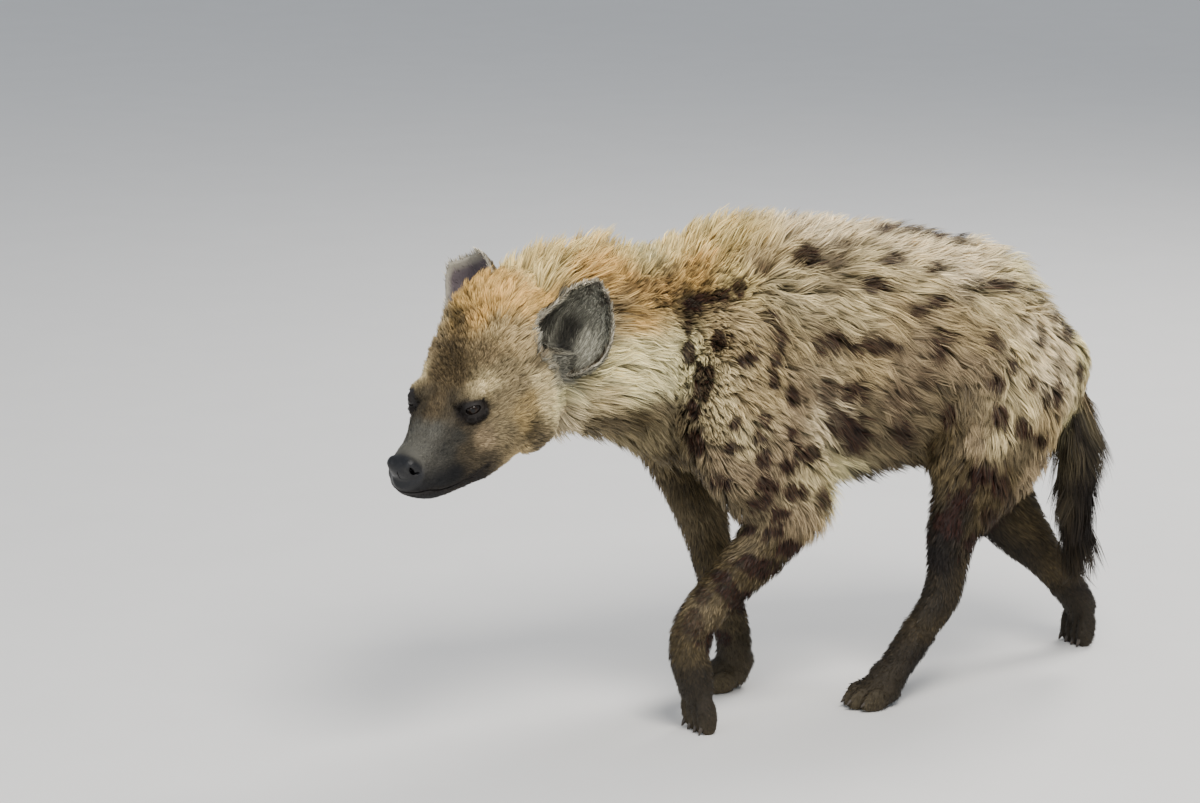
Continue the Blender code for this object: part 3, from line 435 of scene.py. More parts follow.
def fused(name, addParts, voxel, rounds):
    obj = solid(name, addParts)
    remesh = obj.modifiers.new("fuse", "REMESH")
    remesh.mode = "VOXEL"
    remesh.voxel_size = voxel
    soften = obj.modifiers.new("soften", "SMOOTH")
    soften.factor = 0.5
    soften.iterations = rounds
    applyModifiers(obj)
    return obj


# The skin: body, head, ears and paws in one surface
skinSizes = {"bodyVoxel": 0.0062, "headVoxel": 0.0021, "pawVoxel": 0.0026, "rounds": 6, "pawRounds": 3}


def bodyParts(bm):
    Form("trunk", count=120).loft(bm, 64)
    Form("tail", count=60).loft(bm, 24)
    for name in paws:
        Form(name, forms[name][:-1], 80).loft(bm, 40)


# Lumps of the skull under the fur: centre, radii, turn, in the head's frame, left side
headLumps = {
    "cheekbone": ((0.075, 0.060, -0.012), (0.056, 0.031, 0.040), (0, 0, -0.30)),
    "jawMuscle": ((0.035, 0.058, -0.038), (0.050, 0.031, 0.037), (0, 0, 0)),
    "brow": ((0.134, 0.037, 0.048), (0.028, 0.021, 0.0135), (0, 0.3, -0.5)),
    "hood": ((0.141, 0.0535, 0.0475), (0.0190, 0.0125, 0.0060), (0.45, 0.25, -0.62)),
    "underEye": ((0.146, 0.0560, 0.0235), (0.0200, 0.0100, 0.0062), (-0.35, 0.10, -0.55)),
    "lipPad": ((0.222, 0.024, -0.034), (0.035, 0.020, 0.025), (0, 0, 0)),
    "noseWing": ((0.257, 0.014, -0.012), (0.012, 0.012, 0.013), (0, 0.25, 0)),
}
noseBalls = [  # on the midline: centre, radii, turn
    ((0.232, 0, -0.014), (0.030, 0.0270, 0.0235), (0, 0.2, 0)),
    ((0.250, 0, -0.018), (0.0205, 0.0285, 0.0215), (0, 0.25, 0)),
]
noseCuts = [  # nostrils, their slits and the groove: centre, radii, turn, left side
    ((0.2630, 0.0208, -0.0165), (0.0105, 0.0033, 0.0074), (0.35, 0, 1.08)),
    ((0.2585, 0.0255, -0.0225), (0.0130, 0.0050, 0.0028), (0, 0.45, 1.30)),
]
grooveCut = ((0.2712, 0, -0.030), (0.0050, 0.0010, 0.0150), (0, 0, 0))
eyeOpening = {"ahead": 0.015, "radii": (0.0158, 0.0135, 0.0064), "turns": (12, -4, 38), "gap": 0.0003}
mouth = {
    "side": [
        (0.141, -0.056), (0.152, -0.061), (0.168, -0.067), (0.184, -0.069),
        (0.198, -0.068), (0.212, -0.065), (0.226, -0.061), (0.238, -0.056),
    ],
    "front": (0.228, 0, -0.052),
    "frontTurns": (-62, -40, -20, 0, 20, 40, 62),
    "radius": 0.0017,
    "sides": 10,
}


def mirroredBall(centre, radii, turn, side, rolled=1):
    return (centre[0], side * centre[1], centre[2]), radii, (rolled * turn[0], turn[1], side * turn[2])


def eyeAt(side):
    return Vector(skull["eye"]) * Vector((1, side, 1))


def headParts(bm):
    Form("head", count=110).loft(bm, 72)
    for lump in headLumps.values():
        for side in (-1, 1):
            ball(bm, *mirroredBall(*lump, side), headFrame)
    for lump in noseBalls:
        ball(bm, *lump, headFrame)
    for side in (-1, 1):
        ball(bm, eyeAt(side), [skull["eyeRadius"] + skull["lid"]] * 3, (0, 0, 0), headFrame)


def sweep(bm, line, radius, sides):  # a flattened tube along a line
    rings = []
    up = headTurn @ Vector((0, 0, 1))
    for i, point in enumerate(line):
        ahead = line[min(i + 1, len(line) - 1)] - line[max(i - 1, 0)]
        out = ahead.cross(up).normalized()
        over = out.cross(ahead).normalized()
        size = radius * (0.4 if i in (0, len(line) - 1) else 1)
        turns = [2 * pi * k / sides for k in range(sides)]
        rings.append([point + size * (out * cos(t) * 1.8 + over * sin(t)) for t in turns])
    tube(bm, rings)
    bmesh.ops.recalc_face_normals(bm, faces=bm.faces)


def mouthLine(bm, face):
    def onFace(start, aim):
        return face.ray_cast(headFrame @ Vector(start), headTurn @ Vector(aim))[1]
    right, left = ([onFace((x, 0, z), (0, side, 0)) for x, z in mouth["side"]] for side in (-1, 1))
    turns = [radians(angle) for angle in mouth["frontTurns"]]
    front = [onFace(mouth["front"], (cos(turn), sin(turn), 0)) for turn in turns]
    sweep(bm, right + front + left[::-1], mouth["radius"], mouth["sides"])


def eyeTurn(side):
    roll, dip, turn = eyeOpening["turns"]
    return Euler((side * radians(roll), radians(dip), side * radians(turn)))


def carveFace(face):
    boolean(face, solid("cutter", lambda bm: mouthLine(bm, face)))

    def cut(balls):
        boolean(face, solid("cutter", lambda bm: [ball(bm, *b, headFrame, 20) for b in balls]))
    for hole in noseCuts:
        cut([mirroredBall(*hole, side, side) for side in (-1, 1)])
    cut([grooveCut])
    aims = {side: eyeTurn(side).to_matrix() @ Vector((1, 0, 0)) for side in (-1, 1)}
    ahead = eyeOpening["ahead"]
    cut([(eyeAt(side) + aims[side] * ahead, eyeOpening["radii"], eyeTurn(side)) for side in (-1, 1)])
    cut([(eyeAt(side), [skull["eyeRadius"] + eyeOpening["gap"]] * 3, (0, 0, 0)) for side in (-1, 1)])


ear = {
    "root": {1: (-0.040, 0.072, 0.032), -1: (-0.056, 0.066, 0.038)},
    "length": {1: 0.142, -1: 0.140},
    "lean": {1: 0.46, -1: 0.42},
    "turnedOut": {1: 0.56, -1: -0.05},
    "columns": 33,
    "rows": {  # share of the length, half width, how far round the cup goes
        1: [
            (0.00, 0.030, 0.88), (0.15, 0.047, 0.78), (0.32, 0.056, 0.64), (0.50, 0.055, 0.54),
            (0.66, 0.047, 0.47), (0.80, 0.036, 0.42), (0.92, 0.021, 0.38), (1.00, 0.007, 0.36),
        ],
        -1: [
            (0.00, 0.028, 0.88), (0.15, 0.044, 0.80), (0.32, 0.051, 0.66), (0.50, 0.052, 0.55),
            (0.66, 0.052, 0.46), (0.80, 0.049, 0.42), (0.92, 0.042, 0.38), (1.00, 0.031, 0.36),
        ],
    },
    # of the near ear's front edge: share of the length, how much wider
    "flare": ((0, 0.1), (0.12, 0.34), (0.3, 0.26), (0.5, 0), (0.66, -0.12), (0.85, -0.05), (1, 0)),
    "fineRows": 30,
    "hub": 0.55,  # of the radius, in front of the middle line
    "bow": 0.012,
    "wall": (0.0050, 0.0022),  # at the root and the tip
    "edges": (0.55, 0.85),  # share of the wall at the edge and beside it
    # across, up, half sizes, strength
    "patches": [
        (-0.75, 0.30, 0.40, 0.20, 0.8), (-0.2, 0.62, 0.28, 0.16, 0.45), (0.45, 0.45, 0.15, 0.3, 0.2),
    ],
}


def makeEar(side, name):
    root = Vector(ear["root"][side]) * Vector((1, side, 1))
    axis = Vector((-0.30, side * ear["lean"][side], 0.85)).normalized()
    front = Vector((0.84, side * ear["turnedOut"][side], 0.0))
    front = (front - axis * front.dot(axis)).normalized()
    across = axis.cross(front)
    places, widths, wraps = np.array(ear["rows"][side]).T
    last = ear["columns"] - 1
    inner, outer, rims = [], [], []
    for t in np.linspace(0, 1, ear["fineRows"]):
        widen = 1 + (np.interp(t, *zip(*ear["flare"])) if side > 0 else 0)
        centre = root + axis * ear["length"][side] * t - front * ear["bow"] * sin(pi * t)
        limit = np.interp(t, places, wraps) * pi
        radius = np.interp(t, places, widths) / sin(min(limit, pi / 2))
        hub = centre + front * radius * ear["hub"]
        wall = ear["wall"][0] + (ear["wall"][1] - ear["wall"][0]) * t
        rims.append((t, radius * (ear["hub"] - cos(limit)) - ear["bow"] * sin(pi * t)))
        inner.append([])
        outer.append([])
        for k in range(last + 1):
            turn = limit * (2 * k / last - 1)
            ray = -front * cos(turn) + across * sin(turn) * (widen if turn < 0 else 1)
            edge = min(k, last - k)
            thin = wall * (ear["edges"][edge] if edge < 2 else 1)
            inner[-1].append(headFrame @ (hub + ray * (radius - thin)))
            outer[-1].append(headFrame @ (hub + ray * radius))

    def shell(bm):
        within, around = ([[bm.verts.new(p) for p in row] for row in grid] for grid in (inner, outer))
        rows = len(inner) - 1
        for i in range(rows):
            for k in range(last):
                for grid, order in ((within, -1), (around, 1)):
                    bm.faces.new([grid[i][k], grid[i][k + 1], grid[i + 1][k + 1], grid[i + 1][k]][::order])
            for k in (0, last):
                bm.faces.new((within[i][k], within[i + 1][k], around[i + 1][k], around[i][k]))
        for i in (0, rows):
            for k in range(last):
                bm.faces.new((within[i][k], around[i][k], around[i][k + 1], within[i][k + 1]))
        bmesh.ops.recalc_face_normals(bm, faces=bm.faces)
    made = solid(name, shell)

    def hollow(bm):  # what the cup holds, cleared of the neck behind it
        tube(bm, inner[3:])
        bmesh.ops.recalc_face_normals(bm, faces=bm.faces)
    cup = solid(name + "Cup", hollow)
    points = np.array([v.co[:] for v in made.data.vertices])
    info = {
        "tree": BVHTree.FromObject(made, bpy.context.evaluated_depsgraph_get()),
        "box": (points.min(0), points.max(0)),
        "root": np.array(headFrame @ root),
        "side": side,
        "rim": np.array(rims).T,
    }
    for key, way in (("front", front), ("axis", axis), ("across", across)):
        info[key] = np.array(headTurn @ way)
    return made, cup, info


toes = (-1.5, -0.5, 0.5, 1.5)  # their places across a paw, in widths of a toe


def toeReach(place):  # of a toe that lies flat
    return 0.052 if abs(place) < 1 else 0.038


def toeLength(z, place):  # of a toe that hangs
    return z + (0.004 if abs(place) < 1 else 0)


def flatPaw(bm, at, width, _):
    x, y = at
    ball(bm, (x, y, 0.026), (0.034, width * 1.62, 0.026), sides=24)
    ball(bm, (x - 0.012, y, 0.043), (0.030, width * 1.50, 0.028), sides=24)
    for place in toes:
        reach = toeReach(place)
        middle = (x + reach * 0.55, y + place * width * 0.96, 0.0175)
        ball(bm, middle, (reach * 0.60, width * 0.54, 0.0185), (0, 0.10, 0.08 * place), sides=24)
        ball(bm, (middle[0] + reach * 0.36, middle[1], 0.0120), (0.012, width * 0.46, 0.0125), sides=24)


def hangingPaw(bm, at, width, lean):
    x, y, z = at
    ball(bm, (x, y, z + 0.006), (0.024, width * 1.60, 0.028), sides=24)
    for place in toes:
        length = toeLength(z, place)
        root = Vector((x, y + place * width * 0.88, z))
        tip = root + Vector((lean, place * width * 0.10, -length))
        ball(bm, (root + tip) / 2, (0.0165, width * 0.54, length * 0.58), (0, -lean / length, 0), sides=24)


paws = {  # kind, place, width of a toe, how far a hanging toe leans, stations that the paw shares
    "foreLeft": (hangingPaw, (0.286, 0.105, 0.060), 0.0195, -0.008, 4),
    "foreRight": (flatPaw, (0.134, -0.092), 0.0200, 0, 3),
    "hindLeft": (flatPaw, (-0.036, 0.100), 0.0190, 0, 3),
    "hindRight": (hangingPaw, (-0.512, -0.090, 0.058), 0.0185, 0.006, 3),
}


def pawParts(bm, name):
    kind, at, width, lean, shared = paws[name]
    Form(name, forms[name][-shared:], 20).loft(bm, 32, 0.001)
    kind(bm, at, width, lean)


def makeSkin():
    skin = fused("hyenaSkin", bodyParts, skinSizes["bodyVoxel"], skinSizes["rounds"])
    face = fused("face", headParts, skinSizes["headVoxel"], skinSizes["rounds"])
    carveFace(face)
    boolean(skin, face, "UNION")
    ears = {}
    for name, side in (("earLeft", 1), ("earRight", -1)):
        made, cup, ears[name] = makeEar(side, name)
        boolean(skin, cup)
        boolean(skin, made, "UNION")
    for name in paws:
        paw = fused("paw", lambda bm: pawParts(bm, name), skinSizes["pawVoxel"], skinSizes["pawRounds"])
        boolean(skin, paw, "UNION")
    below = Matrix.Translation((0, 0, -1.5))
    boolean(skin, solid("cutter", lambda bm: bmesh.ops.create_cube(bm, size=3, matrix=below)))
    return skin, ears


def meshArrays(obj):
    mesh = obj.data
    mesh.calc_loop_triangles()
    points = np.empty(len(mesh.vertices) * 3)
    mesh.vertices.foreach_get("co", points)
    faces = np.empty(len(mesh.loop_triangles) * 3, np.int32)
    mesh.loop_triangles.foreach_get("vertices", faces)
    return points.reshape(-1, 3), faces.reshape(-1, 3)


def faceNormals(points, faces):
    a, b, c = (points[faces[:, k]] for k in range(3))
    return np.cross(b - a, c - a)


def pointNormals(points, faces):
    across = faceNormals(points, faces)
    count = len(points)
    total = [sum(np.bincount(faces[:, k], across[:, axis], count) for k in range(3)) for axis in range(3)]
    return unit(np.stack(total, 1))


def edgesOf(faces):  # where each edge starts and ends
    return faces.T.ravel(), np.roll(faces, -1, 1).T.ravel()


def spread(values, faces, rounds):  # evens values out over the mesh
    start, end = edgesOf(faces)
    count = len(values)
    weight = np.maximum(np.bincount(start, minlength=count), 1)
    for _ in range(rounds):
        around = np.stack([np.bincount(start, values[end, k], count) for k in range(values.shape[1])], 1)
        values = 0.4 * values + 0.6 * around / weight[:, None]
    return values


def between(low, high, share):
    return low + (high - low) * share


# How the coat lies on each form. Lengths of a hair are against the depth of the coat
lie = {
    "flankDown": 0.42,  # how much the hair of the sides turns down
    "rumpDown": 1.6,
    "neckDown": 0.22,
    "faceDown": 0.45,
    "legBack": 0.3,
    "sideLength": 1.9,
    "maneLength": 1.3,
    "rumpLength": 1.7,
    "legLength": 1.8,
    "faceLength": 2.1,
    "crownLength": 1.35,
    "tailLength": 3.3,
    "seenAt": 0.6,  # how deep in the coat its colour is judged
    "fuller": [  # x, y, z, reach, added depth and length
        (-0.245, 0.00, 0.66, 0.100, 0.013, 0.010), (-0.420, 0.03, 0.445, 0.070, 0.020, 0.030),
        (0.095, 0.12, 0.365, 0.085, 0.026, 0.030),
    ],
    # pixel x, y, half sizes, share of the length cut off
    "short": [(672, 288, 84, 30, 0.62), (755, 380, 85, 130, 0.22), (690, 375, 45, 100, 0.40)],
    "rumpCut": (0.38, 0.60),  # share of length and depth cut off at the very end
    "cup": (0.009, 0.004),  # length and depth in the cup of an ear
    "earInner": (0.015, 0.006),
    "earOuter": (0.011, 0.0045),
    "farEar": 0.8,
}
down = np.array((0.0, 0.0, -1.0))


def lieOf(name, form, along, angle):  # direction and length of the hair
    ahead, depth = form.tangentAt(along), form.coatAt(along, angle)
    above = np.maximum(np.sin(angle), 0)
    if name == "trunk":
        neck = ramp(along, 0.66, 0.80)
        fall = np.cos(angle) ** 2 * (lie["flankDown"] * (1 - neck) + lie["neckDown"] * neck)
        fall = fall + lie["rumpDown"] * fade(along, 0.05, 0.30)
        top = between(lie["rumpLength"], lie["maneLength"], ramp(along, 0.30, 0.55))
        share = between(lie["sideLength"], top, ramp(above, 0.5, 0.9))
        return -ahead + fall[:, None] * down, depth * share
    if name == "head":
        crown = ramp(above, 0.3, 0.8) * fade(along, 0.30, 0.50)
        fall = lie["faceDown"] * ramp(-np.sin(angle), -0.5, 0.4)
        share = between(lie["faceLength"], lie["crownLength"], crown)
        return -ahead - fall[:, None] * form.turn[:, 2], depth * share
    if name == "tail":
        return ahead, depth * lie["tailLength"]
    back = lie["legBack"] * fade(along, 0.25, 0.55)
    return ahead + back[:, None] * np.array((-1, 0, 0)), depth * lie["legLength"]


faceHair = {  # place along the head, and there: lengths on top and beside, share of the depth
    "x": (-0.10, -0.05, -0.01, 0.03, 0.07, 0.11, 0.15, 0.20, 0.27),
    "crown": (0.060, 0.050, 0.038, 0.026, 0.013, 0.008, 0.006, 0.0045, 0.0035),
    "cheek": (0.050, 0.046, 0.031, 0.019, 0.013, 0.010, 0.008, 0.0055, 0.0035),
    "lift": (1.0, 0.95, 0.72, 0.72, 0.85, 0.9, 0.9, 0.9, 0.9),
}


def headHair(points):
    q = inHead(points)
    keys = ("crown", "cheek", "lift")
    crown, cheek, lift = (np.interp(q[:, 0], faceHair["x"], faceHair[key]) for key in keys)
    return between(cheek, crown, ramp(q[:, 2], 0.03, 0.09)), lift


def bendOf(points, faces, normals, flow):  # how much the form curves away under a hair
    start, end = edgesOf(faces)
    smooth = unit(spread(normals, faces, 12))
    run, fall = (((part[end] - part[start]) * flow[start]).sum(1) for part in (points, smooth))
    count = len(points)
    bend = np.bincount(start, run * fall, count) / np.maximum(np.bincount(start, run * run, count), 1e-9)
    return np.clip(spread(bend[:, None], faces, 25)[:, 0], -4.0, 13.0)


def placeOn(points, lifted):
    placed = [lifted[name].locate(points) for name in formNames]
    out = np.stack([p[2] for p in placed], 1)
    return placed, out.argmin(1), np.exp(-10 * (out - out.min(1)[:, None]))


def pick(placed, owner, part):
    return np.stack([p[part] for p in placed], 1)[np.arange(len(owner)), owner]


def inHead(points):
    return (points - np.array(headFrame)[:3, 3]) @ np.array(headTurn)


def mirrored(q):
    return np.stack([q[:, 0], np.abs(q[:, 1]), q[:, 2]], 1)


nosePad = {"middle": (0.262, 0.0, -0.022), "half": (0.025, 0.037, 0.027)}


def faceFields(points):  # 1 on the nose pad; distances to the nearer eye and to the mouth
    q = inHead(points)
    nose = fade(np.linalg.norm((q - nosePad["middle"]) / np.array(nosePad["half"]), axis=1), 0.86, 1.08)
    path = np.array(mouth["side"])
    fine, coarse = np.linspace(0, 1, 60), np.linspace(0, 1, len(path))
    dense = np.stack([np.interp(fine, coarse, part) for part in path.T], 1)
    mouthGap = np.sqrt(((q[:, None, [0, 2]] - dense[None]) ** 2).sum(2).min(1))
    ahead = q[:, 0] > 0.236
    mouthGap[ahead] = np.abs(q[ahead, 2] + 0.054)
    mouthGap[q[:, 0] < 0.11] = 1
    return nose, np.linalg.norm(mirrored(q) - np.array(skull["eye"]), axis=1), mouthGap


def earSpot(points, info):  # place up the ear, across it, and out in front of it
    places, widths, _ = np.array(ear["rows"][info["side"]]).T
    off = points - info["root"]
    up = off @ info["axis"] / ear["length"][info["side"]]
    wide = np.maximum(np.interp(up, places, widths), 0.004)
    return up, off @ info["across"] / wide, off @ info["front"]


def onEars(points, ears):  # which ear each point is on, 0 none; and its place up and across the ear
    which, up, side = np.zeros(len(points), int), np.zeros(len(points)), np.zeros(len(points))
    for n, info in enumerate(ears.values(), 1):
        low, high = info["box"]
        for i in np.nonzero(np.all((points > low - 0.004) & (points < high + 0.004), axis=1))[0]:
            hit = info["tree"].find_nearest(Vector(points[i]))
            if hit[0] is not None and hit[3] < 0.0009:
                which[i] = n
        mine = which == n
        up[mine], side[mine], _ = earSpot(points[mine], info)
    return which, up, side


def inCup(points, ears):  # 1 on the head inside the cup of an ear
    inside = np.zeros(len(points))
    for info in ears.values():
        up, side, ahead = earSpot(points, info)
        here = ramp(up, -0.26, -0.10) * fade(up, 0.7, 0.9) * fade(np.abs(side), 0.72, 0.95)
        inside = np.maximum(inside, here * ramp(ahead, -0.042, -0.030) * fade(ahead, 0.030, 0.050))
    return inside


def colourGuides(tree, lifted):
    places, colours = [], []
    for name, pixels in colourPlaces.items():
        for px, py in pixels:
            origin, way = pixelRay(px, py)
            hit = tree.ray_cast(origin, way)
            if hit[0] is None:  # just off the skin, in the coat: the nearest skin to the ray
                reach = [photo["distance"] + d / 100 for d in range(-80, 80)]
                tries = [tree.find_nearest(origin + way * far) for far in reach]
                hit = min(tries, key=lambda found: found[3])
            places.append(hit[0][:])
            colours.append(linear(fur[name]))
    places, colours = np.array(places), np.array(colours)
    placed, owner, _ = placeOn(places, lifted)
    along, angle = pick(placed, owner, 0), pick(placed, owner, 1)
    others = np.empty_like(places)
    for n, name in enumerate(formNames):
        mine = owner == n
        if mine.any():
            own, other = lifted[name], lifted[otherSide.get(name, name)]
            off = (places[mine] - own.pointAt(along[mine], angle[mine])) @ own.turn * (1, -1, 1)
            others[mine] = other.pointAt(along[mine], pi - angle[mine]) + off @ other.turn.T
    return np.concatenate([places, others]), np.concatenate([colours, colours])


def baseColour(points, places, colours):
    result = np.empty((len(points), 3))
    for start in range(0, len(points), 20000):
        part = points[start:start + 20000]
        gap = (part**2).sum(1)[:, None] - 2 * part @ places.T + (places**2).sum(1)
        weight = 1 / (np.maximum(gap, 0) + 0.007**2) ** 2
        result[start:start + 20000] = weight @ colours / weight.sum(1, keepdims=True)
    return result


specks = {  # middle, half lengths, how many, how strong, in the photo's pixels
    "curly band": (668, 290, 82, 30, 130, 0.46),
    "shoulder": (765, 400, 70, 120, 130, 0.34),
    "flank": (890, 345, 95, 100, 170, 0.30),
    "rump": (1020, 350, 70, 110, 120, 0.28),
}
spotEdge = {
    "inner": 0.78, "outer": 1.16, "ragged": 0.30, "grow": 1.28, "strength": 1.5,
    "reach": 1.7,  # how far out a spot is looked for
    "moved": (14, 10, 0.25, 0.25),  # how far the far side's spots move, and change in size
    "seen": (-0.10, 0.15),  # how a place has to face the camera
}


def allSpots():
    rng = np.random.default_rng(57)
    rows = list(spots)
    for x, y, wide, high, count, strength in specks.values():
        reach, turn = np.sqrt(rng.random(count)), rng.uniform(0, 2 * pi, count)
        px, py = x + wide * reach * np.cos(turn), y + high * reach * np.sin(turn)
        size, slim = rng.uniform(1.6, 3.8, count), rng.uniform(0.8, 1.7, count)
        rows += list(zip(px, py, size * slim, size / slim, strength * rng.uniform(0.5, 1.1, count)))
    return rows


def spotShade(px, py, far, ragged):  # 1 inside a spot of the coat, by place in the photo's pixels
    rng = np.random.default_rng(31)
    amount = np.zeros(len(px))
    order = np.argsort(px)
    across = px[order]
    for x, y, wide, high, strength in allSpots():
        for away, shift in ((False, np.zeros(4)), (True, rng.uniform(-1, 1, 4) * spotEdge["moved"])):
            cx, cy = x + shift[0], y + shift[1]
            rx, ry = wide * (1 + shift[2]) * spotEdge["grow"], high * (1 + shift[3]) * spotEdge["grow"]
            reach = spotEdge["reach"]
            near = order[np.searchsorted(across, cx - reach * rx):np.searchsorted(across, cx + reach * rx)]
            near = near[(np.abs(py[near] - cy) < reach * ry) & (far[near] == away)]
            gap = np.hypot((px[near] - cx) / rx, (py[near] - cy) / ry) * ragged[near]
            dark = min(spotEdge["strength"] * strength, 1) * fade(gap, spotEdge["inner"], spotEdge["outer"])
            amount[near] = np.maximum(amount[near], dark)
    return amount


def nearSide(points, placed, owner, lifted):  # points moved to the side that the photo shows
    along, angle = pick(placed, owner, 0), pick(placed, owner, 1)
    far = np.cos(angle) < 0
    seen = points.copy()
    for n, name in enumerate(formNames):
        mine = far & (owner == n)
        if mine.any():
            seen[mine] = lifted[otherSide.get(name, name)].pointAt(along[mine], pi - angle[mine])
    return seen, far


def spotAmount(points, normals, lifted, path=None):
    # spots at the points, or all along the hairs that grow from them
    placed, owner, _ = placeOn(points, lifted)
    seen, far = nearSide(points, placed, owner, lifted)
    facing = np.where(far, (normals * (1, -1, 1)) @ viewBack, normals @ viewBack)
    plain = [formNames.index(name) for name in ("head", "tail")]
    strength = ~np.isin(owner, plain) * ramp(facing, *spotEdge["seen"])
    ragged = 1 + spotEdge["ragged"] * (waves(points, 0.022, 5) + 0.5 * waves(points, 0.009, 6))
    if path is None:
        return spotShade(*toPixels(seen), far, ragged) * strength
    off = path - points[:, None]
    off[far, :, 1] *= -1
    steps = path.shape[1]
    px, py = toPixels((seen[:, None] + off).reshape(-1, 3))
    shade = spotShade(px, py, np.repeat(far, steps), np.repeat(ragged, steps))
    return shade.reshape(-1, steps) * strength[:, None]


# Each part of the coat: hairs to a square centimetre, lengths of a hair, width at the root,
# how wavy, distance between locks, how far their tips draw together, how far a lock strays
# in degrees, how much it hangs
coat = {
    "neckLeft": (25, 3, 0.0015, 0.060, 0.012, 0.34, 14, 0.03),
    "neckRight": (13, 3, 0.0021, 0.060, 0.012, 0.34, 14, 0.03),
    "back": (19, 3, 0.0017, 0.065, 0.011, 0.34, 17, 0.04),
    "flankLeft": (27, 3, 0.0015, 0.075, 0.011, 0.45, 16, 0.10),
    "flankRight": (14, 3, 0.0021, 0.075, 0.011, 0.45, 16, 0.10),
    "belly": (10, 3, 0.0022, 0.060, 0.012, 0.45, 13, 0.22),
    "shoulderLeft": (29, 3, 0.0014, 0.065, 0.010, 0.42, 14, 0.02),
    "shoulderRight": (14, 3, 0.0020, 0.065, 0.010, 0.42, 14, 0.02),
    "haunchLeft": (29, 3, 0.0014, 0.060, 0.010, 0.42, 14, 0.02),
    "haunchRight": (14, 3, 0.0020, 0.060, 0.010, 0.42, 14, 0.02),
    "forelegs": (24, 2, 0.0013, 0.030, 0.006, 0.30, 9, 0.0),
    "hindlegs": (24, 2, 0.0013, 0.030, 0.006, 0.30, 9, 0.0),
    "tail": (60, 3, 0.0015, 0.060, 0.010, 0.40, 10, 0.06),
    "crown": (56, 3, 0.0011, 0.045, 0.008, 0.35, 12, 0.0),
    "cheeks": (49, 3, 0.0010, 0.035, 0.007, 0.35, 10, 0.0),
    "face": (85, 2, 0.0008, 0.010, 0.005, 0.16, 7, 0.0),
    "ears": (30, 2, 0.0012, 0.020, 0.005, 0.25, 14, 0.0),
    "paws": (16, 2, 0.0012, 0.010, 0.005, 0.25, 8, 0.0),
}
coatNames = list(coat)
pieceLimit = 196000  # triangles
maned = ("back", "neckLeft", "neckRight")
hairLook = {
    "shadedAsBody": 0.32,  # how far a hair is lit as the body under it
    "length": (0.58, 1.12),
    "shortest": 0.0035,
    "width": (0.7, 1.25),
    "roll": 0.7,
    "underSkin": 0.0015,  # how deep a root sits
    "rise": 1.7,  # how soon a hair reaches its full height
    "waves": 5.0,  # of its wave, in radians from root to tip
    "earClear": 0.17,  # hairs nearer than this to an ear are kept out of it
    "lowest": 0.0015,  # no hair comes nearer to the floor
    "patch": 0.003,  # size of a hair on its UV map
    "regions": 0.075,  # size of the stretches that stray and shade together
    "lockLong": (0.85, 1.12),
    "lockLift": (0.60, 1.0),
    "maneLift": (0.85, 1.12),
    "lockTurn": (0.6, 1.1),  # how a lock strays on its own, and with its region
    "ownTurn": 0.07,
    "pulled": (0.5, 1.25),
    "tones": (0.15, 0.10, 0.25),  # of the lock, of the region and its own
    "deep": (0.50, 0.66),  # painted shade: tone of the shortest hairs, deep in the coat, and what the longest gain
    "toneLimits": (0.40, 1.7),
    "spotted": (0.86, 1.0),
    "rusty": 0.6,
}


def regionOf(owner, along, angle, earAt, points):
    region = np.zeros(len(owner), int)
    left, up = np.cos(angle) > 0, np.sin(angle)

    def put(mask, name):
        region[mask] = coatNames.index(name)
    trunk, tail, face = (owner == formNames.index(name) for name in ("trunk", "tail", "head"))
    put(trunk & left, "flankLeft")
    put(trunk & ~left, "flankRight")
    put(trunk & (up > 0.72), "back")
    put(trunk & (up < -0.72), "belly")
    put(trunk & (along > 0.69) & left, "neckLeft")
    put(trunk & (along > 0.69) & ~left, "neckRight")
    for name, upper, lower, ankle in (
        ("foreLeft", "shoulderLeft", "forelegs", 0.085), ("foreRight", "shoulderRight", "forelegs", 0.075),
        ("hindLeft", "haunchLeft", "hindlegs", 0.075), ("hindRight", "haunchRight", "hindlegs", 0.085),
    ):
        mine = owner == formNames.index(name)
        put(mine & (along < 0.46), upper)
        put(mine & (along >= 0.46), lower)
        put(mine & (points[:, 2] < ankle), "paws")
    put(tail, "tail")
    put(face, "face")
    put(face & (along < 0.47) & (up <= 0.35), "cheeks")
    put(face & (along < 0.44) & (up > 0.35), "crown")
    put(earAt > 0, "ears")
    return region


def makeMesh(name, points, faces):
    mesh = bpy.data.meshes.new(name)
    mesh.vertices.add(len(points))
    mesh.vertices.foreach_set("co", (points + np.array(toRow)).ravel())
    mesh.loops.add(len(faces) * 3)
    mesh.loops.foreach_set("vertex_index", faces.ravel())
    mesh.polygons.add(len(faces))
    mesh.polygons.foreach_set("loop_start", np.arange(0, len(faces) * 3, 3))
    mesh.update(calc_edges=True)
    obj = bpy.data.objects.new(name, mesh)
    bpy.context.scene.collection.objects.link(obj)
    return obj


def setColour(mesh, name, values):
    layer = mesh.attributes.new(name, "FLOAT_COLOR", "POINT")
    layer.data.foreach_set("color", np.concatenate([values, np.ones((len(values), 1))], 1).ravel())


def setNumber(mesh, name, values):
    layer = mesh.attributes.new(name, "FLOAT", "POINT")
    layer.data.foreach_set("value", np.asarray(values, float).ravel())


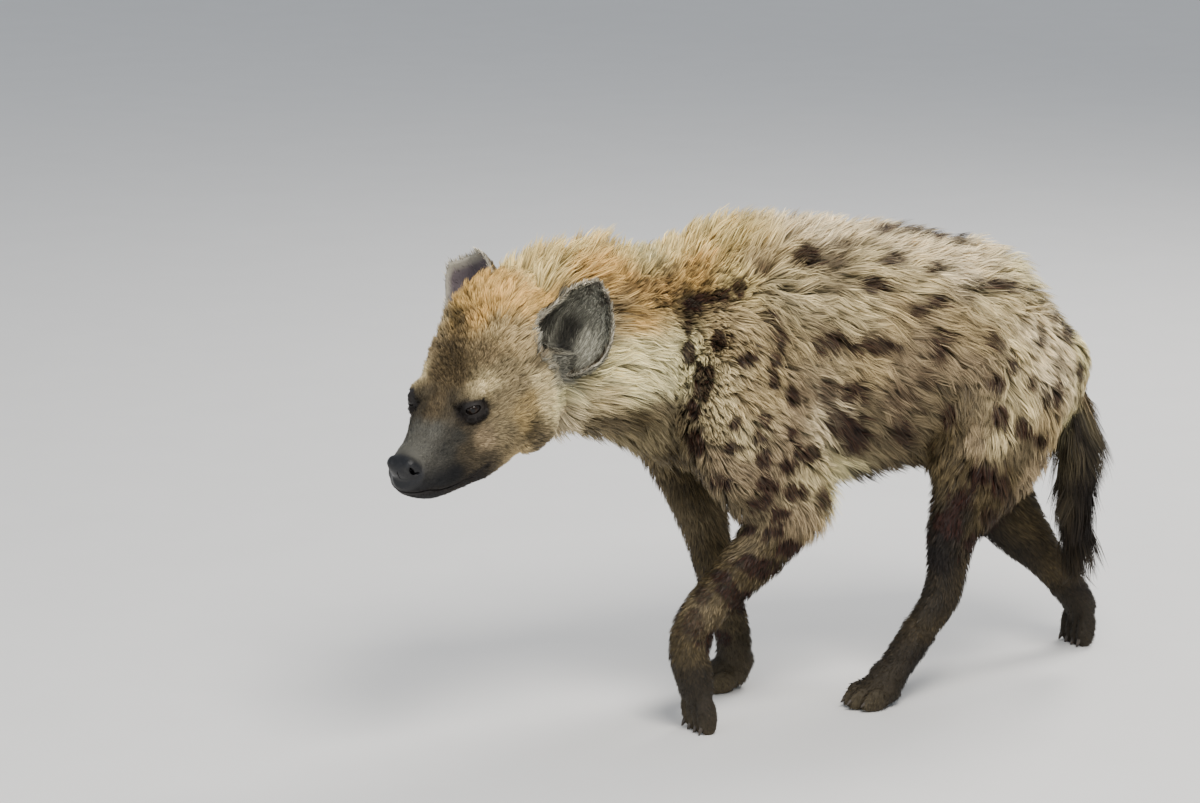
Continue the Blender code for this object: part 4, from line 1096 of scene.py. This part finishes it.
def curves(root, normal, flow, length, depth, bend, swirl, wave, phase, sag, steps):
    # points along hairs that leave the skin, bend over and follow the lie of the coat
    beside = unit(np.cross(normal, flow))
    way = flow * np.cos(swirl)[:, None] + beside * np.sin(swirl)[:, None]
    beside = np.cross(normal, way)
    reach = length * np.sqrt(np.maximum(1 - (depth / length) ** 2, 0.12))
    t = np.linspace(0, 1, steps + 1)[None, :, None]
    grow = depth[:, None, None] * (1 - (1 - t) ** hairLook["rise"]) - hairLook["underSkin"] * (1 - t)
    swing = (wave * length)[:, None, None] * np.sin(phase[:, None, None] + hairLook["waves"] * t) * t
    path = root[:, None] + way[:, None] * reach[:, None, None] * t
    path = path + normal[:, None] * grow + beside[:, None] * swing
    fall = (0.5 * bend * reach**2)[:, None, None] * t * t
    return path + down * (sag * length)[:, None, None] * t * t - normal[:, None] * fall


def clearOfEars(root, normal, way, long, ears):  # no hair runs through an ear
    long = long.copy()
    for info in ears.values():
        for i in np.nonzero(np.linalg.norm(root - info["root"], axis=1) < hairLook["earClear"])[0]:
            aim = Vector(way[i] + 0.25 * normal[i]).normalized()
            hit = info["tree"].ray_cast(Vector(root[i] + 0.003 * normal[i]), aim, float(long[i]))
            if hit[0] is not None:
                long[i] = max(0.75 * hit[3], 0.004)
    return long


def treeOf(points, chosen):
    tree = KDTree(len(chosen))
    for k, i in enumerate(chosen):
        tree.insert(points[i], k)
    tree.balance()
    return tree


hide = {
    "spots": 0.85,
    "underFurShade": 0.3,  # painted shade: how much darker the skin is between the hairs, more where the coat is deep
    # painted shade: how much darker the skin of the ears is, to match their shaded hair
    "onEars": 0.35,
    "lids": 0.35,  # how bare they look
    "farEarBare": 0.9,
    "lowest": 0.006,  # no hair grows on the soles
}


def coatFields(skin, points, faces, normals, ears):  # lie, size and colour of the coat on the skin
    lifted = {name: Form(name) for name in formNames}
    placed, owner, weight = placeOn(points, lifted)
    along, angle = pick(placed, owner, 0), pick(placed, owner, 1)
    flow, length, depth = np.zeros((len(points), 3)), np.zeros(len(points)), np.zeros(len(points))
    for n, name in enumerate(formNames):
        way, long = lieOf(name, lifted[name], *placed[n][:2])
        flow += weight[:, n:n + 1] * unit(way)
        length += weight[:, n] * long
        depth += weight[:, n] * lifted[name].coatAt(*placed[n][:2])
    length, depth = length / weight.sum(1), depth / weight.sum(1)
    share = weight[:, formNames.index("head")] / weight.sum(1)
    long, lift = headHair(points)
    length, depth = between(length, long, share), depth * between(1, lift, share)
    cup = inCup(points, ears)
    length, depth = between(length, lie["cup"][0], cup), between(depth, lie["cup"][1], cup)
    earAt, earUp, earSide = onEars(points, ears)
    for n, info in enumerate(ears.values(), 1):
        mine = earAt == n
        inner = normals[mine] @ info["front"] > 0.1
        flow[mine] = info["axis"] + 0.5 * info["front"] * inner[:, None]
        for field, within, around in zip((length, depth), lie["earInner"], lie["earOuter"]):
            field[mine] = np.where(inner, within, around) * (1 if n == 1 else lie["farEar"])
    flow = spread(unit(flow), faces, 30)
    flow = unit(flow - normals * (flow * normals).sum(1, keepdims=True))
    rump = fade(along, 0.08, 0.16) * (owner == formNames.index("trunk")) * ramp(points[:, 2], 0.49, 0.53)
    length, depth = length * (1 - lie["rumpCut"][0] * rump), depth * (1 - lie["rumpCut"][1] * rump)
    for x, y, z, size, deeper, longer in lie["fuller"]:
        gap = np.linalg.norm((points[:, 0] - x, np.abs(points[:, 1]) - y, points[:, 2] - z), axis=0) / size
        length, depth = length + longer * fade(gap, 0.3, 1), depth + deeper * fade(gap, 0.3, 1)
    px, py = toPixels(nearSide(points, placed, owner, lifted)[0])
    for x, y, wide, high, share in lie["short"]:
        length = length * (1 - share * fade(np.hypot((px - x) / wide, (py - y) / high), 0.7, 1.2))
    length, depth = spread(np.stack([length, depth], 1), faces, 8).T

    raised = points + normals * (depth * lie["seenAt"])[:, None]
    tree = BVHTree.FromPolygons(raised.tolist(), faces.tolist(), all_triangles=True)
    places, colours = colourGuides(tree, lifted)
    nose, eyeGap, mouthGap = faceFields(points)
    colour = baseColour(raised, places, colours)
    colour = paintHead(points, normals, colour, (earAt, earUp, earSide, cup), ears, eyeGap, mouthGap, nose)
    shade = spotAmount(points, normals, lifted)[:, None] * hide["spots"]
    # painted shade on the skin: darker under a deep coat and on the ears
    skinShading = 1 - hide["underFurShade"] * ramp(depth, 0.003, 0.012) - hide["onEars"] * (earAt > 0)
    setColour(skin.data, "furColour", mix(colour, fur["dark"], shade) * skinShading[:, None])
    setNumber(skin.data, "bare", np.maximum(nose, hide["lids"] * fade(eyeGap, 0.0165, 0.019)))
    bare = np.maximum(nose, fade(eyeGap, 0.0168, 0.0185))
    bare = np.maximum(bare, fade(mouthGap, 0.0018, 0.0035))
    farInside = (earAt == 2) * (normals @ ears["earRight"]["front"] > 0)
    bare = np.maximum(bare, hide["farEarBare"] * farInside)
    print("stage: coat fields ready")
    region = regionOf(owner, along, angle, earAt, points)
    area = np.linalg.norm(faceNormals(points, faces), axis=1) / 2
    head = np.nonzero(owner == formNames.index("head"))[0]
    return {
        "lifted": lifted, "owner": owner, "flow": flow, "length": length, "depth": depth, "colour": colour,
        "bend": bendOf(points, faces, normals, flow), "cup": cup, "earAt": earAt, "eyeGap": eyeGap,
        "places": places, "colours": colours, "headTree": treeOf(raised, head), "headColour": colour[head],
        "region": np.median(region[faces], axis=1).astype(int),
        "grows": area * (1 - bare[faces].mean(1)) * (points[faces][:, :, 2].mean(1) > hide["lowest"]),
    }


def growPiece(n, name, points, faces, normals, ears, field):
    dense, steps, width, wave, clump, pull, stray, sag = coat[name]
    rng = np.random.default_rng(100 + n)
    grows = field["grows"]
    mine = np.nonzero((field["region"] == n) & (grows > 0))[0]
    total = grows[mine].sum()
    count = min(int(total * 1e4 * dense), pieceLimit // (2 * steps - 1))
    found = np.searchsorted(np.cumsum(grows[mine]) / total, rng.random(count))
    chosen = mine[np.minimum(found, len(mine) - 1)]
    u, v = rng.random(count), rng.random(count)
    flip = u + v > 1
    u[flip], v[flip] = 1 - u[flip], 1 - v[flip]
    corner = faces[chosen]
    share = np.stack([1 - u - v, u, v], 1)

    def at(values):
        return (values[corner] * (share[:, :, None] if values.ndim == 2 else share)).sum(1)
    root, normal, way = at(points), unit(at(normals)), unit(at(field["flow"]))
    long, deep, bent = at(field["length"]), at(field["depth"]), at(field["bend"])
    if name == "face":
        long = long * (0.45 + 0.55 * ramp(at(field["eyeGap"]), 0.018, 0.034))
    if name in ("crown", "cheeks", "face", *maned):
        long = clearOfEars(root, normal, way, long, ears)
    long = np.maximum(long, hairLook["shortest"])
    stir = waves(root, hairLook["regions"], 11 + n)

    # locks: every hair leans to the nearest lock's middle
    middle = rng.choice(count, min(max(int(total / clump**2), 1), count), replace=False)
    finder, locks = treeOf(root, middle), len(middle)
    lock = np.array([finder.find(p)[1] for p in root])
    lockLong = rng.uniform(*hairLook["lockLong"], locks)
    alone, together = hairLook["lockTurn"]
    lockTurn = radians(stray) * (rng.normal(size=locks) * alone + stir[middle] * together)
    lockPhase = rng.uniform(0, 2 * pi, locks)
    lockTone = rng.normal(size=locks)
    lockLift = rng.uniform(*hairLook["maneLift" if name in maned else "lockLift"], locks)
    ownTurn = rng.normal(size=count) * hairLook["ownTurn"]

    def drawn(i, own):
        k = lock[i]
        size = long[i] * lockLong[k] * own
        rise = np.minimum(deep[i] * lockLift[k] * own, 0.93 * size)
        turn = lockTurn[k] + ownTurn[i]
        return curves(root[i], normal[i], way[i], size, rise, bent[i], turn, wave, lockPhase[k], sag, steps)
    own = rng.uniform(*hairLook["length"], count)
    path = drawn(np.arange(count), own)
    centre = drawn(middle, np.ones(locks))[lock]
    t = np.linspace(0, 1, steps + 1)
    path += (centre - path) * (pull * rng.uniform(*hairLook["pulled"], count)[:, None] * t**1.2)[:, :, None]
    path[:, :, 2] = np.maximum(path[:, :, 2], hairLook["lowest"])
    obj, pattern = strands(name, root, normal, path, width, steps, rng)

    # colour of each hair, from where its outer half lies; spots all along it
    base = baseColour(path[:, (steps + 1) // 2], field["places"], field["colours"])
    rooted = at(field["colour"])
    if name in ("face", "ears", "paws"):
        base = rooted
    elif name in ("cheeks", "crown"):
        base = field["headColour"][[field["headTree"].find(spot)[1] for spot in path[:, 2]]]
    base = between(base, rooted, np.minimum(1.6 * at(field["cup"]), 1)[:, None])
    under = ramp(own, 0.60, 0.95)  # painted shade: short hairs lie deep in the coat, so they are painted darker
    ofLock, ofRegion, ofHair = hairLook["tones"]
    tone = 1 + ofLock * lockTone[lock] + ofRegion * stir + ofHair * rng.normal(size=count)
    deepShadeTone, gain = hairLook["deep"]
    tone = tone * (deepShadeTone + gain * under)
    base = base * np.clip(tone, *hairLook["toneLimits"])[:, None]
    spot = spotAmount(root, normal, field["lifted"], path) * rng.uniform(*hairLook["spotted"], count)[:, None]
    rusty = hairLook["rusty"] * (rng.random(count)[:, None] ** 1.5)
    ink = mix(linear(fur["ink"]), fur["rust"], rusty)
    ring = np.append(np.repeat(np.arange(steps), 2), steps)
    amount = spot[:, ring][:, :, None]
    setColour(obj.data, "furColour", (base[:, None] * (1 - amount) + ink[:, None] * amount).reshape(-1, 3))
    setNumber(obj.data, "along", np.tile(t[ring], count))
    setNumber(obj.data, "strand", np.repeat(rng.random(count), len(ring)))
    owner, earAt = field["owner"][corner[:, 0]], field["earAt"][corner[:, 0]]
    layUv(obj, name, root, owner, field["lifted"], ears, earAt, t[ring], pattern)
    area = round(total * 1e4)
    print("coat", name, "hairs", count, "triangles", len(obj.data.polygons), "area", area, "cm2")
    return obj


def strands(name, root, normal, path, width, steps, rng):  # each hair a ribbon that ends in a point
    count = len(root)
    ahead = unit(np.gradient(path, axis=1))
    beside = unit(np.cross(ahead, normal[:, None]))
    above = unit(np.cross(beside, ahead))
    roll = rng.uniform(-hairLook["roll"], hairLook["roll"], count)[:, None, None]
    flat = beside * np.cos(roll) + above * np.sin(roll)
    taper = np.array([1.0, 0.92, 0.66] if steps > 2 else [1.0, 0.75])
    half = ((width / 2 * rng.uniform(*hairLook["width"], count))[:, None] * taper)[:, :, None]
    ring = np.append(np.repeat(np.arange(steps), 2), steps)
    points = np.empty((count, len(ring), 3))
    points[:, 0:-1:2] = path[:, :-1] + flat[:, :-1] * half
    points[:, 1:-1:2] = path[:, :-1] - flat[:, :-1] * half
    points[:, -1] = path[:, -1]
    pattern = []
    for j in range(0, 2 * steps - 2, 2):
        pattern += [(j, j + 3, j + 1), (j, j + 2, j + 3)]
    pattern = np.array(pattern + [(2 * steps - 2, 2 * steps, 2 * steps - 1)])
    faces = (np.arange(count) * len(ring))[:, None, None] + pattern[None]
    obj = makeMesh("coat_" + name, points.reshape(-1, 3), faces.reshape(-1, 3))
    obj.data.shade_smooth()
    own = above * np.cos(roll) - beside * np.sin(roll)
    asBody = hairLook["shadedAsBody"]
    shading = unit(normal[:, None] * asBody + own * (1 - asBody))[:, ring]
    obj.data.normals_split_custom_set_from_vertices(shading.reshape(-1, 3))
    return obj, pattern


def layUv(obj, name, root, owner, lifted, ears, earAt, along, pattern):
    # each hair is a small patch at its root's place, unrolled along and round its own form
    u, v = np.zeros(len(root)), np.zeros(len(root))
    if name == "ears":
        for n, info in enumerate(ears.values(), 1):
            mine = earAt == n
            off = root[mine] - (info["box"][0] + info["box"][1]) / 2
            third = np.cross(info["front"], info["axis"])
            turn = np.arctan2(off @ info["front"], off @ third)
            u[mine] = (n - 1 + (turn / (2 * pi) + 0.5)) / 2
            v[mine] = off @ info["axis"] / ear["length"][info["side"]] + 0.5
    else:
        here = np.unique(owner)
        for place, k in enumerate(here):
            mine = owner == k
            v[mine], turn, _ = lifted[formNames[k]].locate(root[mine])
            u[mine] = (place + (turn / (2 * pi)) % 1.0) / len(here)
    u, v = ((part - part.min()) / max(part.max() - part.min(), 1e-6) for part in (u, v))
    patch = hairLook["patch"]
    corners = np.stack([np.where(np.arange(len(along)) % 2, 0.5, -0.5) * patch, (along - 0.5) * patch], 1)
    corners[-1, 0] = 0
    uv = np.stack([u, v], 1)[:, None] * 0.94 + 0.03 + corners[None]
    layer = obj.data.uv_layers.new(name="OFBake")
    layer.data.foreach_set("uv", uv[:, pattern.ravel()].ravel())


facePaint = {
    "streak": ((0.010, 0.004, -0.002), (0.034, -0.006, -0.012)),  # from the eye's inner corner
    "eyePatch": ((0.006, 0.004, -0.003), (0.030, 0.030, 0.0185)),  # middle off the eye, half sizes
    "smudge": (463, 322, 9, 13),  # on the forehead, in the photo's pixels: middle, half sizes
}


def mix(colour, values, amount):
    return colour * (1 - amount) + linear(values) * amount


def paintHead(points, normals, colour, earPlace, ears, eyeGap, mouthGap, nose):
    earAt, up, side, cup = earPlace
    q = inHead(points)
    head = (q[:, 0] > -0.02) & (np.abs(q[:, 1]) < 0.2) & (q[:, 2] > -0.2)

    def blend(name, amount):
        return mix(colour, fur[name], np.clip(amount, 0, 1)[:, None])
    # dark line from the inner corner of each eye, and round the lids
    start, end = (np.array(skull["eye"]) + place for place in facePaint["streak"])
    span = end - start
    t = np.clip(((mirrored(q) - start) @ span) / (span @ span), 0, 1)
    away = np.linalg.norm(mirrored(q) - start - t[:, None] * span, axis=1)
    colour = blend("dark", head * fade(away, 0.006, 0.013) * 0.9)
    middle, half = facePaint["eyePatch"]
    off = np.linalg.norm((mirrored(q) - np.array(skull["eye"]) - middle) / half, axis=1)
    colour = blend("dark", head * fade(off, 0.80, 1.25) * 0.95)
    colour = blend("black", head * fade(off, 0.70, 1.10))
    colour = blend("black", fade(eyeGap, 0.0165, 0.0195))
    colour = blend("black", head * fade(mouthGap, 0.003, 0.009) * 0.9)
    colour = blend("noseBlack", nose)
    colour = blend("earGrey", cup * (earAt == 0))
    colour = blend("earDark", cup * (earAt == 0) * 0.7)
    px, py = toPixels(points)
    x, y, wide, high = facePaint["smudge"]
    smudge = np.hypot((px - x) / wide, (py - y) / high) * (1 + 0.25 * waves(points, 0.012, 8))
    colour = blend("umber", head * fade(smudge, 0.5, 1.3) * (normals @ viewBack > 0) * 0.85)
    midline = fade(np.abs(q[:, 1]), 0.006, 0.022) * ramp(q[:, 0], 0.05, 0.08) * fade(q[:, 0], 0.17, 0.20)
    colour = blend("brow", head * midline * (q[:, 2] > 0) * 0.55)
    for n, info in enumerate(ears.values(), 1):
        mine = earAt == n
        inner = mine & (normals @ info["front"] > 0.0)
        ahead = earSpot(points, info)[2] - np.interp(up, *info["rim"])
        edge = ramp(ahead, -0.010, -0.002) + ramp(up, 0.88, 0.97)
        hollow = fade(np.abs(side + 0.05), 0.15, 0.50) * fade(up, 0.30, 0.60)
        for middle, place, wide, high, strength in ear["patches"]:
            far = np.hypot((side - middle) / wide, (up - place) / high) * (1 + 0.3 * waves(points, 0.015, 9))
            hollow = np.maximum(hollow, strength * fade(far, 0.5, 1.2))
        colour = np.where((mine & ~inner)[:, None], linear(fur["earBack"]), colour)
        colour = np.where(inner[:, None], linear(fur["earGrey" if n == 1 else "earViolet"]), colour)
        colour = blend("earDark", inner * hollow)
        colour = blend("earRim", mine * edge * 0.85 * (1 - 0.8 * (side < -0.6) * fade(up, 0.30, 0.45)))
        colour = blend("earDark", mine * fade(up, -0.05, 0.22) * 0.5)
    return colour


# Shader maths as plain expressions
class Value:
    def __init__(self, tree, socket):
        self.tree, self.socket = tree, socket

    def _math(self, operation, first, second):
        node = self.tree.nodes.new("ShaderNodeMath")
        node.operation = operation
        for place, term in enumerate((first, second)):
            if isinstance(term, Value):
                self.tree.links.new(term.socket, node.inputs[place])
            else:
                node.inputs[place].default_value = term
        return Value(self.tree, node.outputs[0])

    def __add__(self, other): return self._math("ADD", self, other)
    def __radd__(self, other): return self._math("ADD", other, self)
    def __sub__(self, other): return self._math("SUBTRACT", self, other)
    def __rsub__(self, other): return self._math("SUBTRACT", other, self)
    def __mul__(self, other): return self._math("MULTIPLY", self, other)
    def __rmul__(self, other): return self._math("MULTIPLY", other, self)
    def __pow__(self, other): return self._math("POWER", self, other)
    def __rpow__(self, other): return self._math("POWER", other, self)


class Finish:  # one material and the nodes it is made of
    def __init__(self, name, **constants):
        self.material = bpy.data.materials.new(name)
        self.material.use_nodes = True
        self.tree = self.material.node_tree
        self.tree.nodes.clear()
        constants = {socket.replace("_", " "): value for socket, value in constants.items()}
        surface = self.node("BsdfPrincipled", {}, constants)
        self.shader = surface.socket.node
        self.node("OutputMaterial", {}, {"Surface": surface})

    def node(self, kind, settings=None, inputs=None, output=None):
        node = self.tree.nodes.new("ShaderNode" + kind)
        for key, value in (settings or {}).items():
            setattr(node, key, value)
        for key, value in (inputs or {}).items():
            socket = next(s for s in node.inputs if s.enabled and s.name == key)
            if isinstance(value, Value):
                self.tree.links.new(value.socket, socket)
            else:
                socket.default_value = value
        found = [s for s in node.outputs if s.enabled and output in (None, s.name)]
        return Value(self.tree, found[0]) if found else None

    def attribute(self, name, output="Fac"):
        return self.node("Attribute", {"attribute_name": name}, output=output)

    def scaled(self, colour, amount):
        return self.node("VectorMath", {"operation": "SCALE"}, {"Vector": colour, "Scale": amount})

    def mixed(self, amount, first, second):
        return self.node("Mix", {"data_type": "RGBA"}, {"Factor": amount, "A": first, "B": second})

    def stepped(self, value, low, high):
        inputs = {"Value": value, "From Min": low, "From Max": high}
        return self.node("MapRange", {"interpolation_type": "SMOOTHSTEP"}, inputs)

    def noise(self, size, detail=3.0):
        where = self.node("TexCoord", output="Object")
        return self.node("TexNoise", {}, {"Vector": where, "Scale": size, "Detail": detail}, "Fac")

    def feed(self, **values):
        for socket, value in values.items():
            self.tree.links.new(value.socket, self.shader.inputs[socket.replace("_", " ")])

    def bump(self, height, strength, distance):
        inputs = {"Height": height, "Strength": strength, "Distance": distance}
        self.feed(Normal=self.node("Bump", {}, inputs, "Normal"))


def hairFinish(name, rootShade, gloss):
    finish = Finish(name, Specular_IOR_Level=gloss)
    along, strand = finish.attribute("along"), finish.attribute("strand")
    # painted shade: each hair is darker towards its root
    tone = (0.72 + strand * 0.56) * (rootShade + (1 - rootShade) * along ** 0.7)
    streak = 0.88 + finish.noise(160.0) * 0.24
    finish.feed(Base_Color=finish.scaled(finish.attribute("furColour", "Color"), tone * streak))
    finish.feed(Roughness=0.48 + strand * 0.22)
    return finish.material


def skinFinish():
    finish = Finish("hyenaHide", Specular_IOR_Level=0.35)
    bare = finish.attribute("bare")
    fine = finish.noise(420.0, 4.0)
    where = finish.node("TexCoord", output="Object")
    pebble = finish.node("TexVoronoi", {"feature": "F1"}, {"Vector": where, "Scale": 620.0}, "Distance")
    tone = (0.62 + fine * 0.4) * (1 - bare) + bare * (0.7 + pebble * 0.7)
    finish.feed(Base_Color=finish.scaled(finish.attribute("furColour", "Color"), tone))
    finish.feed(Roughness=0.72 - bare * 0.40 + fine * 0.12)
    finish.bump(fine * (1 - bare) * 0.5 + (1 - pebble) * bare * 0.7, 0.5, 0.0012)
    return finish.material


# Eyes, their iris and pupil by the angle from the line of sight, in radians
eyeLook = {"pupil": (0.21, 0.26), "iris": (0.46, 0.54), "cornea": (0.2, 0.62), "bulge": 0.0011}


def makeEyes():
    finish = Finish("eyeGloss", Specular_IOR_Level=0.18, Coat_Weight=0.14, Coat_Roughness=0.03, Roughness=0.2)
    off = finish.attribute("off")
    iris = finish.mixed(finish.noise(900.0, 2.0), (0.005, 0.003, 0.002, 1), (0.018, 0.009, 0.004, 1))
    rim = finish.stepped(off, *eyeLook["iris"])
    colour = finish.mixed(finish.stepped(off, *eyeLook["pupil"]), (0.003, 0.003, 0.003, 1), iris)
    finish.feed(Base_Color=finish.mixed(rim, colour, (0.008, 0.006, 0.005, 1)))
    for side, word in ((1, "left"), (-1, "right")):
        sight = np.array(headTurn @ (eyeTurn(side).to_matrix() @ Vector((1, 0, 0))))
        bm = bmesh.new()
        bmesh.ops.create_uvsphere(bm, u_segments=64, v_segments=48, radius=skull["eyeRadius"] - 0.0001)
        bmesh.ops.triangulate(bm, faces=bm.faces)
        points = np.array([v.co[:] for v in bm.verts])
        faces = np.array([[v.index for v in f.verts] for f in bm.faces])
        bm.free()
        off = np.arccos(np.clip(unit(points) @ sight, -1, 1))
        points += unit(points) * (eyeLook["bulge"] * fade(off, *eyeLook["cornea"]))[:, None]
        obj = makeMesh("eyeball_" + word, points + np.array(headFrame @ eyeAt(side)), faces)
        setNumber(obj.data, "off", off)
        obj.data.shade_smooth()
        obj.data.materials.append(finish.material)
        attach(obj, "root")
        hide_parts("eye_" + word)


# Claws: blunt, dark, one at the end of each toe
claw = {
    "length": 0.0125, "thick": 0.0044, "bend": 0.6, "taper": 0.72, "flat": 0.75, "tip": 0.0015,
    "rings": 7, "sides": 10, "lowest": 0.0008,
}


def clawBase(kind, at, width, lean, place):  # where a claw starts, and the way it points
    if kind is flatPaw:
        start = (at[0] + toeReach(place) * 1.02, at[1] + place * width * 0.98, 0.0165)
        return np.array(start), unit(np.array((0.93, 0.10 * place, -0.20)))
    start = (at[0] + lean * 0.8 + 0.011, at[1] + place * width * 0.96, at[2] - toeLength(at[2], place) * 0.80)
    return np.array(start), unit(np.array((0.55, 0.08 * place, -0.55)))


def makeClaws():
    points, faces = [], []
    rings, sides, bend = claw["rings"], claw["sides"], claw["bend"] * claw["length"]
    for kind, at, width, lean, _ in paws.values():
        for place in toes:
            start, way = clawBase(kind, at, width, lean, place)
            side = unit(np.cross(way, (0, 0, 1)))
            up = np.cross(side, way)
            first = len(points)
            for i in range(rings):
                t = i / (rings - 1)
                middle = start + way * claw["length"] * t - up * bend * t * t * 0.5
                size = claw["thick"] * (1 - claw["taper"] * t**1.5)
                turns = [2 * pi * k / sides for k in range(sides)]
                points += [middle + side * cos(a) * size * claw["flat"] + up * sin(a) * size for a in turns]
            points.append(start + way * (claw["length"] + claw["tip"]) - up * bend * 0.55)
            for i in range(rings - 1):
                for k in range(sides):
                    a, b = first + i * sides + k, first + i * sides + (k + 1) % sides
                    faces += [(a, b, b + sides), (a, b + sides, a + sides)]
            last = first + (rings - 1) * sides
            faces += [(last + k, last + (k + 1) % sides, len(points) - 1) for k in range(sides)]
    points = np.array(points)
    points[:, 2] = np.maximum(points[:, 2], claw["lowest"])
    obj = makeMesh("claws", points, np.array(faces))
    obj.data.shade_smooth()
    finish = Finish("clawHorn", Specular_IOR_Level=0.5)
    grain = finish.noise(500.0)
    finish.feed(Base_Color=finish.mixed(grain, (0.018, 0.014, 0.011, 1), (0.075, 0.058, 0.042, 1)))
    finish.feed(Roughness=0.32 + grain * 0.2)
    obj.data.materials.append(finish.material)
    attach(obj, "root")


# Camera, floor and lights
studio = {
    "sensor": 36,
    "floor": 14,
    "sky": ((0.80, 0.86, 0.95, 1), 0.62),
    "aim": (0.0, 0.0, 0.45),
    "lamps": {  # place, size, power, colour
        "key": ((0.6, 3.2, 4.4), 2.0, 320, (1.0, 0.96, 0.90)),
        "fill": ((4.4, 2.2, 1.6), 2.4, 60, (0.92, 0.96, 1.0)),
        "rim": ((-3.0, -1.8, 3.8), 1.8, 170, (1.0, 0.97, 0.93)),
    },
}


def placed(name, data, place, target):  # an object that looks at the target
    obj = bpy.data.objects.new(name, data)
    obj.location = place
    obj.rotation_euler = (target - obj.location).to_track_quat("-Z", "Y").to_euler()
    bpy.context.scene.collection.objects.link(obj)
    return obj


def makeStage():
    target = Vector(viewTarget) + toRow
    lens = bpy.data.cameras.new("camera")
    lens.sensor_width = studio["sensor"]
    lens.lens = photo["pixelsPerMetre"] * photo["distance"] / photo["width"] * studio["sensor"]
    camera = placed("camera", lens, target + Vector(viewBack) * photo["distance"], target)
    bpy.context.scene.camera = camera

    size = studio["floor"]
    floor = solid("floor", lambda bm: bmesh.ops.create_grid(bm, x_segments=1, y_segments=1, size=size))
    finish = Finish("floorPaper", Specular_IOR_Level=0.1, Roughness=0.9)
    finish.feed(Base_Color=finish.mixed(finish.noise(6.0), (0.74, 0.73, 0.71, 1), (0.78, 0.77, 0.75, 1)))
    floor.data.materials.append(finish.material)

    world = bpy.data.worlds.new("studio")
    world.use_nodes = True
    sky = world.node_tree.nodes["Background"]
    sky.inputs["Color"].default_value, sky.inputs["Strength"].default_value = studio["sky"]
    bpy.context.scene.world = world
    for name, (place, size, power, colour) in studio["lamps"].items():
        lamp = bpy.data.lights.new(name, "AREA")
        lamp.size, lamp.energy, lamp.color = size, power, colour
        placed(name, lamp, place, Vector(studio["aim"]))


fleshNodes = ["head", "ear_left", "ear_right", "neck", "torso", "tail"] + [
    part + side for side in ("_left", "_right")
    for part in ("upper_arm", "forearm", "forepaw", "thigh", "shank", "hindpaw")
]
shortHaired = ("face", "ears", "paws", "cheeks", "forelegs", "hindlegs")
hairTones = {"longHair": (0.50, 0.22), "shortHair": (0.72, 0.24)}  # painted shade at the root: how dark the root is; and gloss


def main():
    makeStage()
    skin, ears = makeSkin()
    points, faces = meshArrays(skin)
    normals = pointNormals(points, faces)
    print("stage: skin ready,", len(faces), "triangles")
    field = coatFields(skin, points, faces, normals, ears)
    coatPieces = [growPiece(n, name, points, faces, normals, ears, field) for n, name in enumerate(coat)]
    skin.data.transform(Matrix.Translation(toRow))
    skin.data.shade_smooth()
    skin.data.materials.clear()
    skin.data.materials.append(skinFinish())
    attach(skin, "root")
    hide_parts(*fleshNodes)
    longHair, shortHair = (hairFinish(name, *tones) for name, tones in hairTones.items())
    for name, obj in zip(coat, coatPieces):
        obj.data.materials.append(shortHair if name in shortHaired else longHair)
        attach(obj, "root")
    makeEyes()
    makeClaws()
    print("stage: all pieces ready")


main()
